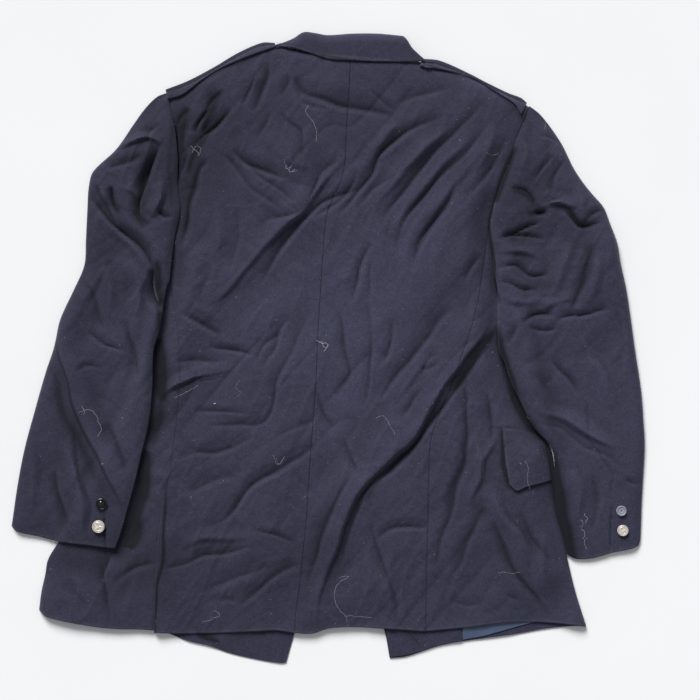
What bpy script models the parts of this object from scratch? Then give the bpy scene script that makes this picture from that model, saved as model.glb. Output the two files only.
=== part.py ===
"""A service dress jacket, laid flat on a table with its back up.

Every piece of cloth is a wall over a four-sided patch between named edges. Its height is
a smooth body form plus a table of folds. Tables are in millimetres: X to the right, Y
towards the collar, Z up, with the fronts on the table at Z = 0.
"""

from collections import namedtuple

import bmesh
import bpy
import numpy as np
from mathutils import Vector
from mathutils.bvhtree import BVHTree

MM = 0.001
COLLECTION = "service_dress_jacket"

# Cloth and clearances
CLOTH = 1.5
HALF_CLOTH = CLOTH / 2
SEAM_GAP = 0.3
LAYER = CLOTH + 0.4
MIDDLE_X = 31.0
FACING_CLOTH = 1.2

# Heights of the middle of the wall
ON_TABLE = HALF_CLOTH
EDGE_HEIGHT = 3.3
ARMHOLE_HEIGHT = 10.2
UNDER_SLEEVE_HEIGHT = 8.2
COVERED_HEIGHT = 4.2

# Widths over which the cloth rolls, rises and sinks
EDGE_ROLL = 14.0
COLLAR_ROLL = 12.0
SLEEVE_ROLL_OUT = 15.0
SLEEVE_ROLL_IN = 12.0
COVER_RISE = 34.0
ARMHOLE_BLEND = 26.0
UNDER_STEP = 24.0
SLEEVE_OFF_BODY_Y = -122.0
SLEEVE_OFF_BODY_RUN = 42.0
COVER_START = 2.0
INNER_SEAM_ROLL = 1.5
COLLAR_EDGE_RISE = 1.0
COLLAR_TOP_HEIGHT = 13.0

# Shares of a sleeve's length over which it leaves the armhole
ARMHOLE_END = 0.11
ARMHOLE_END_RUN = 0.08
UNDER_STEP_START = 0.075
UNDER_STEP_RUN = 0.055
TOP_STEP_RUN = 0.05

# How quickly a fold dies away at its ends
FOLD_ENDS = 0.6

# Grids: rows run across a piece, columns along it
BACK_ROWS = 40
BACK_COLUMNS = 13
LEFT_ARMHOLE_ROWS = 13
RIGHT_ARMHOLE_ROWS = 9
SLEEVE_ROWS = 34
SLEEVE_COLUMNS = 8
SIDE_LEFT_COLUMNS = 6
SIDE_RIGHT_COLUMNS = 8
FRONT_LEFT_ROWS = 26
FRONT_RIGHT_ROWS = 24
FRONT_COLUMNS = 5
COLLAR_GRID = (14, 5)
STAND_GRID = (14, 2)
STRAP_GRID = (14, 3)
FLAP_GRID = (6, 6)
INSIDE_GRID = (8, 3)

# Where the shoulder seam meets the neck, as a share of a back's top edge
LEFT_NECK_SHARE = 0.62
RIGHT_NECK_SHARE = 0.4

# Vent on the left side, and how far the side panel runs on under the back there
VENT_TOP_Y = -194.0
VENT_UNDERLAP = 24.0
VENT_STEP = 2.7
VENT_STEP_START_Y = -166.0
VENT_REACH = 70.0
VENT_SIDE_RUN = 26.0
VENT_BACK_RUN = 20.0
VENT_BACK_REACH = 28.0
VENT_CLEARANCE = 0.5

Finish = namedtuple("Finish", "colour roughness metallic")
NAVY = Finish((0.035, 0.036, 0.062), 0.85, 0.0)
NAVY_DARK = Finish((0.028, 0.029, 0.052), 0.88, 0.0)
LINING = Finish((0.115, 0.135, 0.195), 0.6, 0.0)
BLACK_GLOSS = Finish((0.012, 0.012, 0.016), 0.15, 0.0)
GREY_BLUE = Finish((0.16, 0.18, 0.22), 0.4, 0.2)
SILVER = Finish((0.62, 0.6, 0.56), 0.3, 1.0)

# Edges of the pieces, each a row of (x, y) from the collar end to the hem end
ARMHOLE_LEFT = (
    (-214, 334), (-213, 325), (-206, 295), (-202, 257), (-202, 217),
    (-199, 184), (-206, 148), (-210, 117), (-213, 89),
)
SIDE_SEAM_LEFT = (
    (-213, 89), (-204, 37), (-198, -24), (-201, -80), (-206, -125), (-211, -165),
    (-216, -194), (-220, -206), (-225, -250), (-228, -288), (-230, -319), (-232, -383),
)
CENTRE_SEAM = (
    (31, 396), (31, 385), (28, 329), (26, 300), (21, 234), (0, 181), (-5, 138), (-10, 64),
    (-13, 10), (-15, -40), (-18, -84), (-22, -134), (-25, -179), (-29, -236), (-32, -267),
    (-37, -317), (-43, -358), (-44, -383),
)
ARMHOLE_RIGHT = (
    (270, 324), (265, 308), (259, 294), (253, 276), (248, 253), (236, 228), (224, 190),
    (219, 172),
)
SIDE_SEAM_RIGHT = (
    (219, 172), (211, 115), (203, 64), (192, 22), (179, -15), (168, -48), (152, -86),
    (140, -120), (137, -152), (136, -214), (134, -281), (133, -333), (132, -381),
)
BODY_EDGE_LEFT = (
    (-221, 84), (-238, 17), (-260, -64), (-291, -138), (-327, -206), (-361, -261),
    (-376, -286), (-380, -307), (-385, -329), (-388, -353),
)
BODY_EDGE_RIGHT = (
    (227, 165), (243, 115), (258, 51), (276, -37), (293, -118), (303.5, -148), (305.5, -177),
    (307.5, -215), (313.5, -242), (321, -277), (333, -327), (348, -375),
)
SLEEVE_OUT_LEFT = (
    (-216, 343), (-230, 337), (-245, 322), (-261, 300), (-284, 267), (-315, 237),
    (-321, 217), (-323, 186), (-325, 145), (-327, 111), (-341, 78), (-354, 51), (-361, 33),
    (-368, 0), (-379, -33), (-393, -82), (-408, -138), (-417, -185), (-425, -240),
)
SLEEVE_IN_LEFT = (
    (-213, 89), (-217, 80), (-226, 24), (-234, -3), (-236, -55), (-241, -102), (-250, -140),
    (-260, -182), (-271, -222), (-277, -244), (-286, -269),
)
CUFF_LEFT = ((-425, -240), (-417, -247), (-390, -253), (-361, -260), (-320, -265), (-286, -269))
SLEEVE_OUT_RIGHT = (
    (272, 325), (287, 313), (314, 276), (331, 242), (344, 222), (356, 207), (372, 188),
    (380, 168), (390, 141), (394, 117), (402, 80), (407, 48), (414, -3), (422, -57),
    (425, -94), (427, -130), (425, -172), (423, -209), (421, -260), (419, -266),
)
SLEEVE_IN_RIGHT = (
    (219, 172), (219, 149), (223, 129), (224, 105), (229, 80), (229, 48), (231, -3),
    (238, -18), (248, -48), (260, -72), (276, -105), (300, -131), (305.5, -147), (306.5, -177),
    (308.5, -215), (314.5, -242), (322, -277),
)
CUFF_RIGHT = (
    (419, -266), (410, -270), (385, -275), (361, -282), (344, -284), (333, -283), (322, -277),
)

# Edges that run from the left to the right
SHOULDER_LEFT = ((-214, 334), (-187, 353), (-161, 367), (-118, 392), (-88, 405), (-66, 406.5))
NECK_LEFT = ((-66, 406.5), (-58, 405), (-46, 402), (-10, 399), (31, 396))
NECK_RIGHT = ((31, 396), (70, 393), (100, 389), (128, 384))
SHOULDER_RIGHT = ((128, 384), (151, 379), (192, 363), (213, 352), (244, 337), (262, 329), (270, 324))
HEM_BACK_LEFT = ((-232, -383), (-173, -384), (-95, -381), (-68, -380), (-44, -383))
HEM_BACK_RIGHT = ((-44, -383), (-21, -384), (1, -377), (29, -375), (75, -377), (132, -381))
HEM_SIDE_LEFT = ((-388, -353), (-376, -362), (-315, -374), (-285, -377), (-244, -378), (-232, -381))
HEM_SIDE_RIGHT = ((132, -381), (182, -376), (241, -369), (287, -369), (330, -372), (348, -375))
HEM_FRONT_LEFT = (
    (-388, -353), (-376, -362), (-315, -374), (-285, -377), (-222, -384), (-192, -395),
    (-159, -403), (-134, -412), (-95, -421), (-63, -426), (-56, -425),
)
HEM_FRONT_RIGHT = (
    (84, -419), (106, -417), (150, -403), (187, -396), (260, -386), (299, -379),
    (331, -376), (348, -376),
)
FRONT_EDGE_LEFT = (
    (-74, 398), (-20, 310), (8, 200), (12, 60), (10, -100), (-8, -260), (-44, -383),
    (-56, -425),
)
FRONT_EDGE_RIGHT = (
    (126, 372), (60, 310), (18, 200), (15, 60), (16, -100), (34, -260), (76, -379),
    (84, -419),
)

# The body's height above the table, from the shoulders to the hem
Rise = namedtuple("Rise", "y height")
BODY_RISE = (
    Rise(400, 14.0), Rise(330, 14.5), Rise(230, 12.5), Rise(80, 10.0), Rise(-120, 9.5),
    Rise(-300, 8.0), Rise(-385, 6.2),
)

# How far the top sleeve stands off the under sleeve, by the share of its length
Puff = namedtuple("Puff", "share height")
SLEEVE_PUFF = (Puff(0.0, 2.0), Puff(0.12, 7.0), Puff(0.4, 7.5), Puff(0.75, 5.5), Puff(1.0, 2.6))

# Folds: left and right are the half widths on each side, as one walks along the path
Fold = namedtuple("Fold", "path left right height")
BACK_FOLDS = (
    Fold(((26, 257), (-6, 219), (-57, 161), (-87, 132), (-145, 63)), 13, 24, 5.0),
    Fold(((44, 214), (-32, 172), (-72, 121), (-84, 94)), 12, 12, -4.0),
    Fold(((16, 254), (-24, 196), (-44, 176), (-80, 172)), 12, 12, -3.5),
    Fold(((153, 314), (90, 273), (61, 233), (18, 175)), 13, 13, -4.5),
    Fold(((163, 294), (98, 233), (64, 192)), 14, 14, 3.5),
    Fold(((205, 331), (148, 264), (118, 230), (78, 175)), 12, 12, -5.0),
    Fold(((192, 280), (152, 240), (111, 192)), 13, 13, 3.5),
    Fold(((217, 304), (148, 225), (101, 159), (93, 129)), 12, 12, -5.0),
    Fold(((234, 250), (211, 228), (182, 198)), 12, 12, -3.5),
    Fold(((-43, 365), (1, 335), (61, 317), (90, 314)), 12, 12, -3.0),
    Fold(((-142, 345), (-173, 303), (-175, 288)), 12, 12, -4.0),
    Fold(((-128, 323), (-148, 300), (-171, 275)), 12, 12, -4.0),
    Fold(((-171, 234), (-180, 202), (-198, 138)), 12, 12, -4.0),
    Fold(((-125, 268), (-82, 237), (-52, 225)), 12, 12, -3.5),
    Fold(((-195, 45), (-167, 32), (-145, 20)), 13, 13, -3.5),
    Fold(((-233, -74), (-199, -47), (-136, -32)), 13, 13, 4.0),
    Fold(((-161, -105), (-91, -105), (-63, -40), (-30, 41)), 12, 12, -3.5),
    Fold(((-20, -132), (-63, -163), (-124, -217), (-152, -238)), 14, 14, -4.0),
    Fold(((-225, -298), (-159, -279), (-99, -269)), 12, 12, -3.5),
    Fold(((-38, -291), (-71, -310), (-114, -345)), 13, 13, -3.0),
    Fold(((16, 48), (28, -34), (13, -63)), 13, 13, -3.5),
    Fold(((169, 51), (101, -28), (70, -68)), 14, 14, -3.5),
    Fold(((236, 50), (202, 10), (141, -78), (82, -157), (22, -233), (-14, -330), (-18, -372)), 12, 32, 7.5),
    Fold(((220, 2), (167, -68), (91, -163), (32, -242), (11, -298)), 13, 11, -4.0),
    Fold(((183, -48), (187, -145), (164, -230), (144, -298)), 13, 13, -4.0),
    Fold(((199, -119), (206, -165), (190, -210)), 13, 13, 3.5),
    Fold(((222, -187), (254, -249), (269, -291)), 16, 16, 4.0),
    Fold(((227, -233), (257, -304), (300, -369)), 12, 12, -3.0),
    Fold(((60, -242), (92, -340), (94, -372)), 14, 14, -3.0),
)
SLEEVE_LEFT_FOLDS = (
    Fold(((-226, 272), (-246, 219), (-252, 194), (-241, 167)), 12, 12, -5.0),
    Fold(((-228, 228), (-226, 198), (-229, 172)), 15, 15, 4.0),
    Fold(((-314, 202), (-291, 169), (-241, 117), (-233, 91)), 12, 12, -5.0),
    Fold(((-290, 190), (-262, 168), (-240, 140)), 14, 14, 3.0),
    Fold(((-364, 20), (-345, -61), (-317, -125), (-279, -206)), 36, 12, 5.0),
    Fold(((-367, -172), (-350, -244)), 13, 13, -2.5),
)
SLEEVE_RIGHT_FOLDS = (
    Fold(((245, 215), (263, 210), (277, 195)), 12, 12, -4.0),
    Fold(((285, 192), (310, 196), (336, 190)), 13, 13, 4.0),
    Fold(((321, 184), (341, 164), (367, 169)), 12, 12, -5.0),
    Fold(((240, 149), (262, 160), (286, 169)), 12, 12, -4.0),
    Fold(((225, 103), (254, 109), (298, 101)), 12, 12, -4.0),
    Fold(((354, 138), (344, 88), (331, 55)), 14, 14, -5.0),
    Fold(((309, 38), (344, 43), (375, 52)), 13, 13, -3.5),
    Fold(((260, 34), (277, 45), (303, 45)), 12, 12, -3.5),
    Fold(((277, -97), (313, -110), (377, -149), (400, -165)), 13, 13, -4.0),
    Fold(((290, -85), (330, -100), (385, -132)), 16, 16, 3.0),
)

# Collar, straps, flap, facing and lining
COLLAR_TOP = ((-62, 409), (-45, 416), (-32, 424), (-18, 423), (0, 420), (33, 422), (68, 422), (101, 419))
COLLAR_END = ((101, 419), (106, 413), (113, 402), (130, 386))
COLLAR_FALL_EDGE = (
    (-69, 406), (-47, 404), (-28, 398), (-9, 391), (6, 387), (32, 385), (79, 383),
    (130, 383),
)
COLLAR_POINT = ((-62, 409), (-69, 406))
COLLAR_LIFT = 2.1
STAND_TOP = ((-54, 411), (-45, 415), (-32, 423), (-18, 422), (0, 419), (33, 421), (68, 421), (99, 418))
STAND_SEAM = ((-51, 405.6), (-46, 403.8), (-10, 399.8), (31, 396.8), (70, 394.2), (104, 391.0))
STAND_TOP_HEIGHT = 3.9
STRAP_LEFT_OUT = ((-213, 347), (-187, 358), (-153, 376), (-119, 396), (-88, 409), (-72, 409))
STRAP_LEFT_IN = ((-211, 335), (-195, 341), (-172, 358), (-146, 375), (-105, 393), (-71, 405))
STRAP_RIGHT_OUT = ((133, 382), (151, 384), (192, 367), (213, 356), (244, 341), (260, 335), (267, 329))
STRAP_RIGHT_IN = ((130, 376), (166, 372), (197, 362), (213, 352), (240, 336), (253, 327), (260, 315))
STRAP_CLEARANCE = 3.0
FLAP_TOP = ((237, -116), (256, -113), (282, -115))
FLAP_LEFT = ((237, -116), (240, -145), (246, -184))
FLAP_BOTTOM = ((246, -184), (254, -191), (267, -186), (300, -178))
FLAP_RIGHT = ((282, -115), (292, -136), (300, -178))
FLAP_CLEARANCE = 2.2
FACING_EDGE = ((64, -340), (78, -379), (86, -417))
FACING_SIDE = ((180, -340), (181.5, -396.2))
FACING_HEM = ((86, -417), (106, -414.6), (127, -409), (150, -401.6), (181.5, -396.2))
LINING_EDGE = ((181, -340), (182.5, -394))
LINING_SIDE = ((286, -340), (287, -369))
LINING_HEM = ((182.5, -394), (207, -389.5), (228, -384), (253, -377), (272, -372), (287, -369))

Button = namedtuple("Button", "name x y diameter height on finish")
BUTTONS = (
    Button("button_left_upper", -303.5, -210.3, 15.5, 5.2, "sleeve_left_top", BLACK_GLOSS),
    Button("button_left_lower", -307.4, -240.6, 17.0, 6.0, "sleeve_left_top", SILVER),
    Button("button_right_upper", 395.6, -220.0, 14.0, 4.6, "sleeve_right_top", GREY_BLUE),
    Button("button_right_lower", 397.6, -246.4, 15.0, 5.4, "sleeve_right_top", SILVER),
)
BUTTON_SIDES = 20
BUTTON_RIM = 0.34
BUTTON_SHOULDER = 0.94
BUTTON_BACK = 0.85
DOME_STEPS = 6
FOOTPRINT_STEPS = 16
CURVE_STEPS = 12
PATH_SAMPLES = 28
EDGE_SAMPLES = 90
ABOVE_ALL = 100.0
SHARP_ANGLE = np.radians(50.0)


def smooth(x):
    """Nought below 0, one above 1, and a soft rise between."""
    x = np.clip(x, 0.0, 1.0)
    return x * x * (3.0 - 2.0 * x)


def roll(x):
    """A quarter circle, from nought at 0 to one at 1."""
    return np.sqrt(1.0 - (1.0 - np.clip(x, 0.0, 1.0)) ** 2)


def dense_points(points):
    """Points along a smooth curve that passes through the given ones."""
    p = np.array(points, float)
    if len(p) == 2:
        share = np.linspace(0.0, 1.0, CURVE_STEPS)[:, None]
        return p[0] + (p[1] - p[0]) * share
    t = np.concatenate([[0.0], np.cumsum(np.linalg.norm(np.diff(p, axis=0), axis=1))])
    slope = np.empty_like(p)
    slope[1:-1] = (p[2:] - p[:-2]) / (t[2:] - t[:-2])[:, None]
    slope[0] = (p[1] - p[0]) / (t[1] - t[0])
    slope[-1] = (p[-1] - p[-2]) / (t[-1] - t[-2])
    s = np.linspace(0.0, 1.0, CURVE_STEPS, endpoint=False)[None, :, None]
    span = np.diff(t)[:, None, None]
    a, b = p[:-1, None], p[1:, None]
    sa, sb = slope[:-1, None] * span, slope[1:, None] * span
    curve = (
        (2 * s**3 - 3 * s**2 + 1) * a
        + (s**3 - 2 * s**2 + s) * sa
        + (3 * s**2 - 2 * s**3) * b
        + (s**3 - s**2) * sb
    )
    return np.vstack([curve.reshape(-1, 2), p[-1:]])


def edge(points, shift=0.0):
    """An edge as a function of the share of its length; shift moves it to its own left."""
    curve = dense_points(points)
    if shift:
        along = np.gradient(curve, axis=0)
        along /= np.linalg.norm(along, axis=1)[:, None]
        curve = curve + shift * np.stack([-along[:, 1], along[:, 0]], axis=1)
    length = np.concatenate([[0.0], np.cumsum(np.linalg.norm(np.diff(curve, axis=0), axis=1))])
    share = length / length[-1]
    return lambda s: np.stack([np.interp(s, share, curve[:, k]) for k in (0, 1)], axis=1)


def joined(first, second, share):
    """One edge made of two, which meet at that share of it."""

    def at(s):
        s = np.asarray(s, float)
        early = first(np.clip(s / share, 0.0, 1.0))
        late = second(np.clip((s - share) / (1.0 - share), 0.0, 1.0))
        return np.where((s <= share)[:, None], early, late)

    return at


def patch(left, right, top, bottom):
    """Places between four edges: straight rows across, bowed as the top and bottom edges are."""

    def bow(line, u):
        """How far an edge bows from the straight line between its ends."""
        ends = line(np.array([0.0, 1.0]))
        return line(u) - (ends[0] + (ends[1] - ends[0]) * u[:, None])

    def at(u, v):
        a, b = u[:, None], v[:, None]
        across = (1 - a) * left(v) + a * right(v)
        return across + (1 - b) * bow(top, u) + b * bow(bottom, u)

    return at


def beside(points, samples, x, y):
    """How far each place is from a curve, positive on its left, and the share along it."""
    curve = edge(points)(np.linspace(0.0, 1.0, samples))
    start, run = curve[:-1], np.diff(curve, axis=0)
    away = np.stack([x, y], axis=1)[:, None, :] - start[None]
    t = np.clip((away * run).sum(2) / (run * run).sum(1), 0.0, 1.0)
    gap = away - t[:, :, None] * run
    far = np.linalg.norm(gap, axis=2)
    nearest = far.argmin(axis=1)
    row = np.arange(len(x))
    turn = run[nearest, 0] * gap[row, nearest, 1] - run[nearest, 1] * gap[row, nearest, 0]
    share = (nearest + t[row, nearest]) / len(run)
    return far[row, nearest] * np.where(turn >= 0, 1.0, -1.0), share


def folded(x, y, folds):
    """The height that the folds add: a soft ridge or trough along each path, ending in nothing."""
    z = np.zeros_like(x)
    for fold in folds:
        away, share = beside(fold.path, PATH_SAMPLES, x, y)
        width = np.where(away > 0, fold.left, fold.right)
        z += fold.height * np.sin(np.pi * share) ** FOLD_ENDS * np.exp(-((away / width) ** 2))
    return z


def table_at(rows, where):
    """A table of two columns read at other places, whichever way it runs."""
    keys = np.array([row[0] for row in rows], float)
    values = np.array([row[1] for row in rows], float)
    order = np.argsort(keys)
    return np.interp(where, keys[order], values[order])


OUTLINE_LEFT = SLEEVE_OUT_LEFT[::-1] + SHOULDER_LEFT[1:] + NECK_LEFT[1:]
OUTLINE_RIGHT = NECK_RIGHT + SHOULDER_RIGHT[1:-1] + SLEEVE_OUT_RIGHT


def armhole_share(armhole, inner):
    """The share of a sleeve's inner edge that is sewn into the armhole."""
    sewn, free = (
        np.linalg.norm(np.diff(np.array(line, float), axis=0), axis=1).sum()
        for line in (armhole, inner)
    )
    return sewn / (sewn + free)


def covered(x, y, armhole, inner, body_side):
    """How far the body lies beside a sleeve's inner edge, and how free of the seam the sleeve is there."""
    away, share = beside(armhole + inner[1:], EDGE_SAMPLES, x, y)
    seam_end = armhole_share(armhole, inner)
    return away * body_side, smooth((share - seam_end + ARMHOLE_END) / ARMHOLE_END_RUN)


def body_height(x, y):
    """The back's height: rise and folds, then the armholes, the sleeves' cover and the outline's roll."""
    left = x < MIDDLE_X
    outline = np.where(
        left,
        -beside(OUTLINE_LEFT, EDGE_SAMPLES, x, y)[0],
        -beside(OUTLINE_RIGHT, EDGE_SAMPLES, x, y)[0],
    )
    rise = table_at(BODY_RISE, y) + folded(x, y, BACK_FOLDS)
    for armhole, inner, side in (
        (ARMHOLE_LEFT, SLEEVE_IN_LEFT, 1.0),
        (ARMHOLE_RIGHT, SLEEVE_IN_RIGHT, -1.0),
    ):
        away, free = covered(x, y, armhole, inner, side)
        seam = np.exp(-((np.maximum(away, 0.0) / ARMHOLE_BLEND) ** 2)) * (1.0 - free)
        rise = rise + (ARMHOLE_HEIGHT - rise) * seam
        under = free * (1.0 - smooth((away - COVER_START) / COVER_RISE))
        rise = rise + (COVERED_HEIGHT - rise) * under
    rise = np.maximum(rise, COVERED_HEIGHT)
    return EDGE_HEIGHT + (rise - EDGE_HEIGHT) * roll(outline / EDGE_ROLL)


def side_height(x, y, v):
    """The side panels' height: the back's, lower at the body's side fold and under the vent."""
    z = body_height(x, y)
    inside = np.where(
        x < 0,
        beside(BODY_EDGE_LEFT, EDGE_SAMPLES, x, y)[0],
        -beside(BODY_EDGE_RIGHT, EDGE_SAMPLES, x, y)[0],
    )
    z = EDGE_HEIGHT + (z - EDGE_HEIGHT) * roll(inside / EDGE_ROLL)
    from_seam = np.abs(beside(SIDE_SEAM_LEFT, EDGE_SAMPLES, x, y)[0])
    near = 1.0 - smooth((from_seam - VENT_SIDE_RUN) / VENT_REACH)
    step = smooth((VENT_STEP_START_Y - y) / VENT_SIDE_RUN) * near
    return np.where(x < 0, np.maximum(z - VENT_STEP * step, EDGE_HEIGHT), z)


def vent_back_height(x, y, v):
    """The back's height, held clear of the side panel that runs on under it at the vent."""
    z = body_height(x, y)
    from_seam = np.abs(beside(SIDE_SEAM_LEFT, EDGE_SAMPLES, x, y)[0])
    near = 1.0 - smooth((from_seam - VENT_BACK_REACH) / VENT_BACK_RUN)
    near = near * smooth((VENT_STEP_START_Y - y) / VENT_BACK_RUN)
    return np.maximum(z, (side_height(x, y, v) + LAYER + VENT_CLEARANCE) * near)


def under_sleeve_height(x, y, v, seam_end, body_edge, body_side):
    """The under sleeve lies on the table, and steps up onto the body below the armhole."""
    away = beside(body_edge, EDGE_SAMPLES, x, y)[0]
    below = smooth((v - seam_end + UNDER_STEP_START) / UNDER_STEP_RUN)
    onto = smooth((away * body_side + UNDER_STEP * 0.75) / UNDER_STEP) * below
    if body_side < 0:
        onto = onto * (1.0 - smooth((SLEEVE_OFF_BODY_Y - y) / SLEEVE_OFF_BODY_RUN))
    return ON_TABLE + (UNDER_SLEEVE_HEIGHT - ON_TABLE) * onto


def top_sleeve_height(x, y, v, seam_end, out, armhole, inner, folds, under):
    """The top sleeve: from the outer fold up to the seam, puffed between its edges, with its folds."""
    far_out = np.abs(beside(out, EDGE_SAMPLES, x, y)[0])
    far_in = np.abs(beside(armhole + inner[1:], EDGE_SAMPLES, x, y)[0])
    across = smooth(far_out / np.maximum(far_out + far_in, 1e-6))
    below = smooth((v - seam_end) / TOP_STEP_RUN)
    inner_edge = (under + LAYER) * below + ARMHOLE_HEIGHT * (1.0 - below)
    z = EDGE_HEIGHT + (inner_edge - EDGE_HEIGHT) * across * roll(far_out / EDGE_ROLL)
    between = roll(far_out / SLEEVE_ROLL_OUT) * roll((far_in + INNER_SEAM_ROLL) / SLEEVE_ROLL_IN)
    z = z + (table_at(SLEEVE_PUFF, v) + folded(x, y, folds)) * between
    return np.maximum(z, under + LAYER)


def collection_for(name):
    group = bpy.data.collections.new(name)
    bpy.context.scene.collection.children.link(group)
    return group


def material_for(name, finish):
    material = bpy.data.materials.new(name)
    material.use_nodes = True
    shader = material.node_tree.nodes["Principled BSDF"]
    shader.inputs["Base Color"].default_value = (*finish.colour, 1.0)
    shader.inputs["Roughness"].default_value = finish.roughness
    shader.inputs["Metallic"].default_value = finish.metallic
    return material


def add_object(group, name, bm, finish):
    mesh = bpy.data.meshes.new(name)
    bm.to_mesh(mesh)
    bm.free()
    mesh.shade_smooth()
    mesh.set_sharp_from_angle(angle=SHARP_ANGLE)
    mesh.materials.append(material_for(name, finish))
    part = bpy.data.objects.new(name, mesh)
    group.objects.link(part)
    return part


def cloth(group, name, place, height, columns, rows, finish, thickness=CLOTH):
    """A wall of cloth: a grid laid between the piece's edges, given its height, and extruded down."""
    bm = bmesh.new()
    bmesh.ops.create_grid(bm, x_segments=columns, y_segments=rows, size=1.0)
    flat = np.array([v.co for v in bm.verts], float)
    u, v = (1 + flat[:, 0]) / 2, (1 - flat[:, 1]) / 2
    xy = place(u, v)
    z = height(xy[:, 0], xy[:, 1], v) + thickness / 2
    for vert, (x, y), top in zip(bm.verts, xy, z):
        vert.co = Vector((x, y, top)) * MM
    grown = bmesh.ops.extrude_face_region(bm, geom=bm.faces[:])["geom"]
    below = [item for item in grown if isinstance(item, bmesh.types.BMVert)]
    bmesh.ops.translate(bm, verts=below, vec=(0.0, 0.0, -thickness * MM))
    bmesh.ops.recalc_face_normals(bm, faces=bm.faces[:])
    return add_object(group, name, bm, finish)


def level(height):
    """A height that is the same all over a piece."""
    return lambda x, y, v: np.full_like(x, height)


def on_body(lift):
    """A height a fixed lift above the back."""
    return lambda x, y, v: body_height(x, y) + lift


def make_backs(group):
    seam = SEAM_GAP / 2
    share = LEFT_ARMHOLE_ROWS / BACK_ROWS
    left_side = joined(edge(ARMHOLE_LEFT, seam), edge(SIDE_SEAM_LEFT, seam), share)
    left_top = joined(edge(SHOULDER_LEFT), edge(NECK_LEFT), LEFT_NECK_SHARE)
    left = patch(left_side, edge(CENTRE_SEAM, -seam), left_top, edge(HEM_BACK_LEFT))
    cloth(group, "back_left", left, vent_back_height, BACK_COLUMNS, BACK_ROWS, NAVY)
    share = RIGHT_ARMHOLE_ROWS / BACK_ROWS
    right_side = joined(edge(ARMHOLE_RIGHT, -seam), edge(SIDE_SEAM_RIGHT, -seam), share)
    right_top = joined(edge(NECK_RIGHT), edge(SHOULDER_RIGHT), RIGHT_NECK_SHARE)
    right = patch(edge(CENTRE_SEAM, seam), right_side, right_top, edge(HEM_BACK_RIGHT))
    cloth(group, "back_right", right, on_body(0.0), BACK_COLUMNS, BACK_ROWS, NAVY)


def make_sides(group):
    seam = SEAM_GAP / 2
    lap_left = edge(SIDE_SEAM_LEFT, -seam)

    def left_seam(s):
        at = lap_left(s)
        at[:, 0] += VENT_UNDERLAP * smooth((VENT_TOP_Y - 4.0 - at[:, 1]) / 22.0)
        return at

    top_left = edge((BODY_EDGE_LEFT[0], SIDE_SEAM_LEFT[0]))
    hem_left = HEM_SIDE_LEFT[:-1] + ((-208, -382),)
    left = patch(edge(BODY_EDGE_LEFT), left_seam, top_left, edge(hem_left))
    rows = BACK_ROWS - LEFT_ARMHOLE_ROWS
    cloth(group, "side_left", left, side_height, SIDE_LEFT_COLUMNS, rows, NAVY)
    top_right = edge((SIDE_SEAM_RIGHT[0], BODY_EDGE_RIGHT[0]))
    right = patch(edge(SIDE_SEAM_RIGHT, seam), edge(BODY_EDGE_RIGHT), top_right, edge(HEM_SIDE_RIGHT))
    rows = BACK_ROWS - RIGHT_ARMHOLE_ROWS
    cloth(group, "side_right", right, side_height, SIDE_RIGHT_COLUMNS, rows, NAVY)


def make_fronts(group):
    seam = SEAM_GAP / 2
    share = LEFT_ARMHOLE_ROWS / FRONT_LEFT_ROWS
    left_side = joined(edge(ARMHOLE_LEFT, seam), edge(BODY_EDGE_LEFT), share)
    left = patch(left_side, edge(FRONT_EDGE_LEFT), edge(SHOULDER_LEFT), edge(HEM_FRONT_LEFT))
    cloth(group, "front_left", left, level(ON_TABLE), FRONT_COLUMNS, FRONT_LEFT_ROWS, NAVY_DARK)
    share = RIGHT_ARMHOLE_ROWS / FRONT_RIGHT_ROWS
    right_side = joined(edge(ARMHOLE_RIGHT, -seam), edge(BODY_EDGE_RIGHT), share)
    right = patch(edge(FRONT_EDGE_RIGHT), right_side, edge(SHOULDER_RIGHT), edge(HEM_FRONT_RIGHT))
    cloth(group, "front_right", right, level(ON_TABLE), FRONT_COLUMNS, FRONT_RIGHT_ROWS, NAVY_DARK)


def make_sleeve(group, side, out, armhole, inner, cuff, folds, body_edge, armhole_rows):
    """A two-piece sleeve: the under sleeve on the table and the body, and the top sleeve over it."""
    right_hand = 1.0 if side == "left" else -1.0
    seam = -SEAM_GAP / 2 * right_hand
    share = armhole_rows / SLEEVE_ROWS
    inner_edge = joined(edge(armhole, seam), edge(inner, seam), share)
    head = edge((out[0], armhole[0]) if side == "left" else (armhole[0], out[0]))
    edges = (edge(out), inner_edge) if side == "left" else (inner_edge, edge(out))
    end = edge(cuff if side == "left" else cuff[::-1])
    place = patch(*edges, head, end)

    def under(x, y, v):
        return under_sleeve_height(x, y, v, share, body_edge, right_hand)

    def top(x, y, v):
        return top_sleeve_height(x, y, v, share, out, armhole, inner, folds, under(x, y, v))

    cloth(group, f"sleeve_{side}_under", place, under, SLEEVE_COLUMNS, SLEEVE_ROWS, NAVY_DARK)
    return cloth(group, f"sleeve_{side}_top", place, top, SLEEVE_COLUMNS, SLEEVE_ROWS, NAVY)


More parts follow.
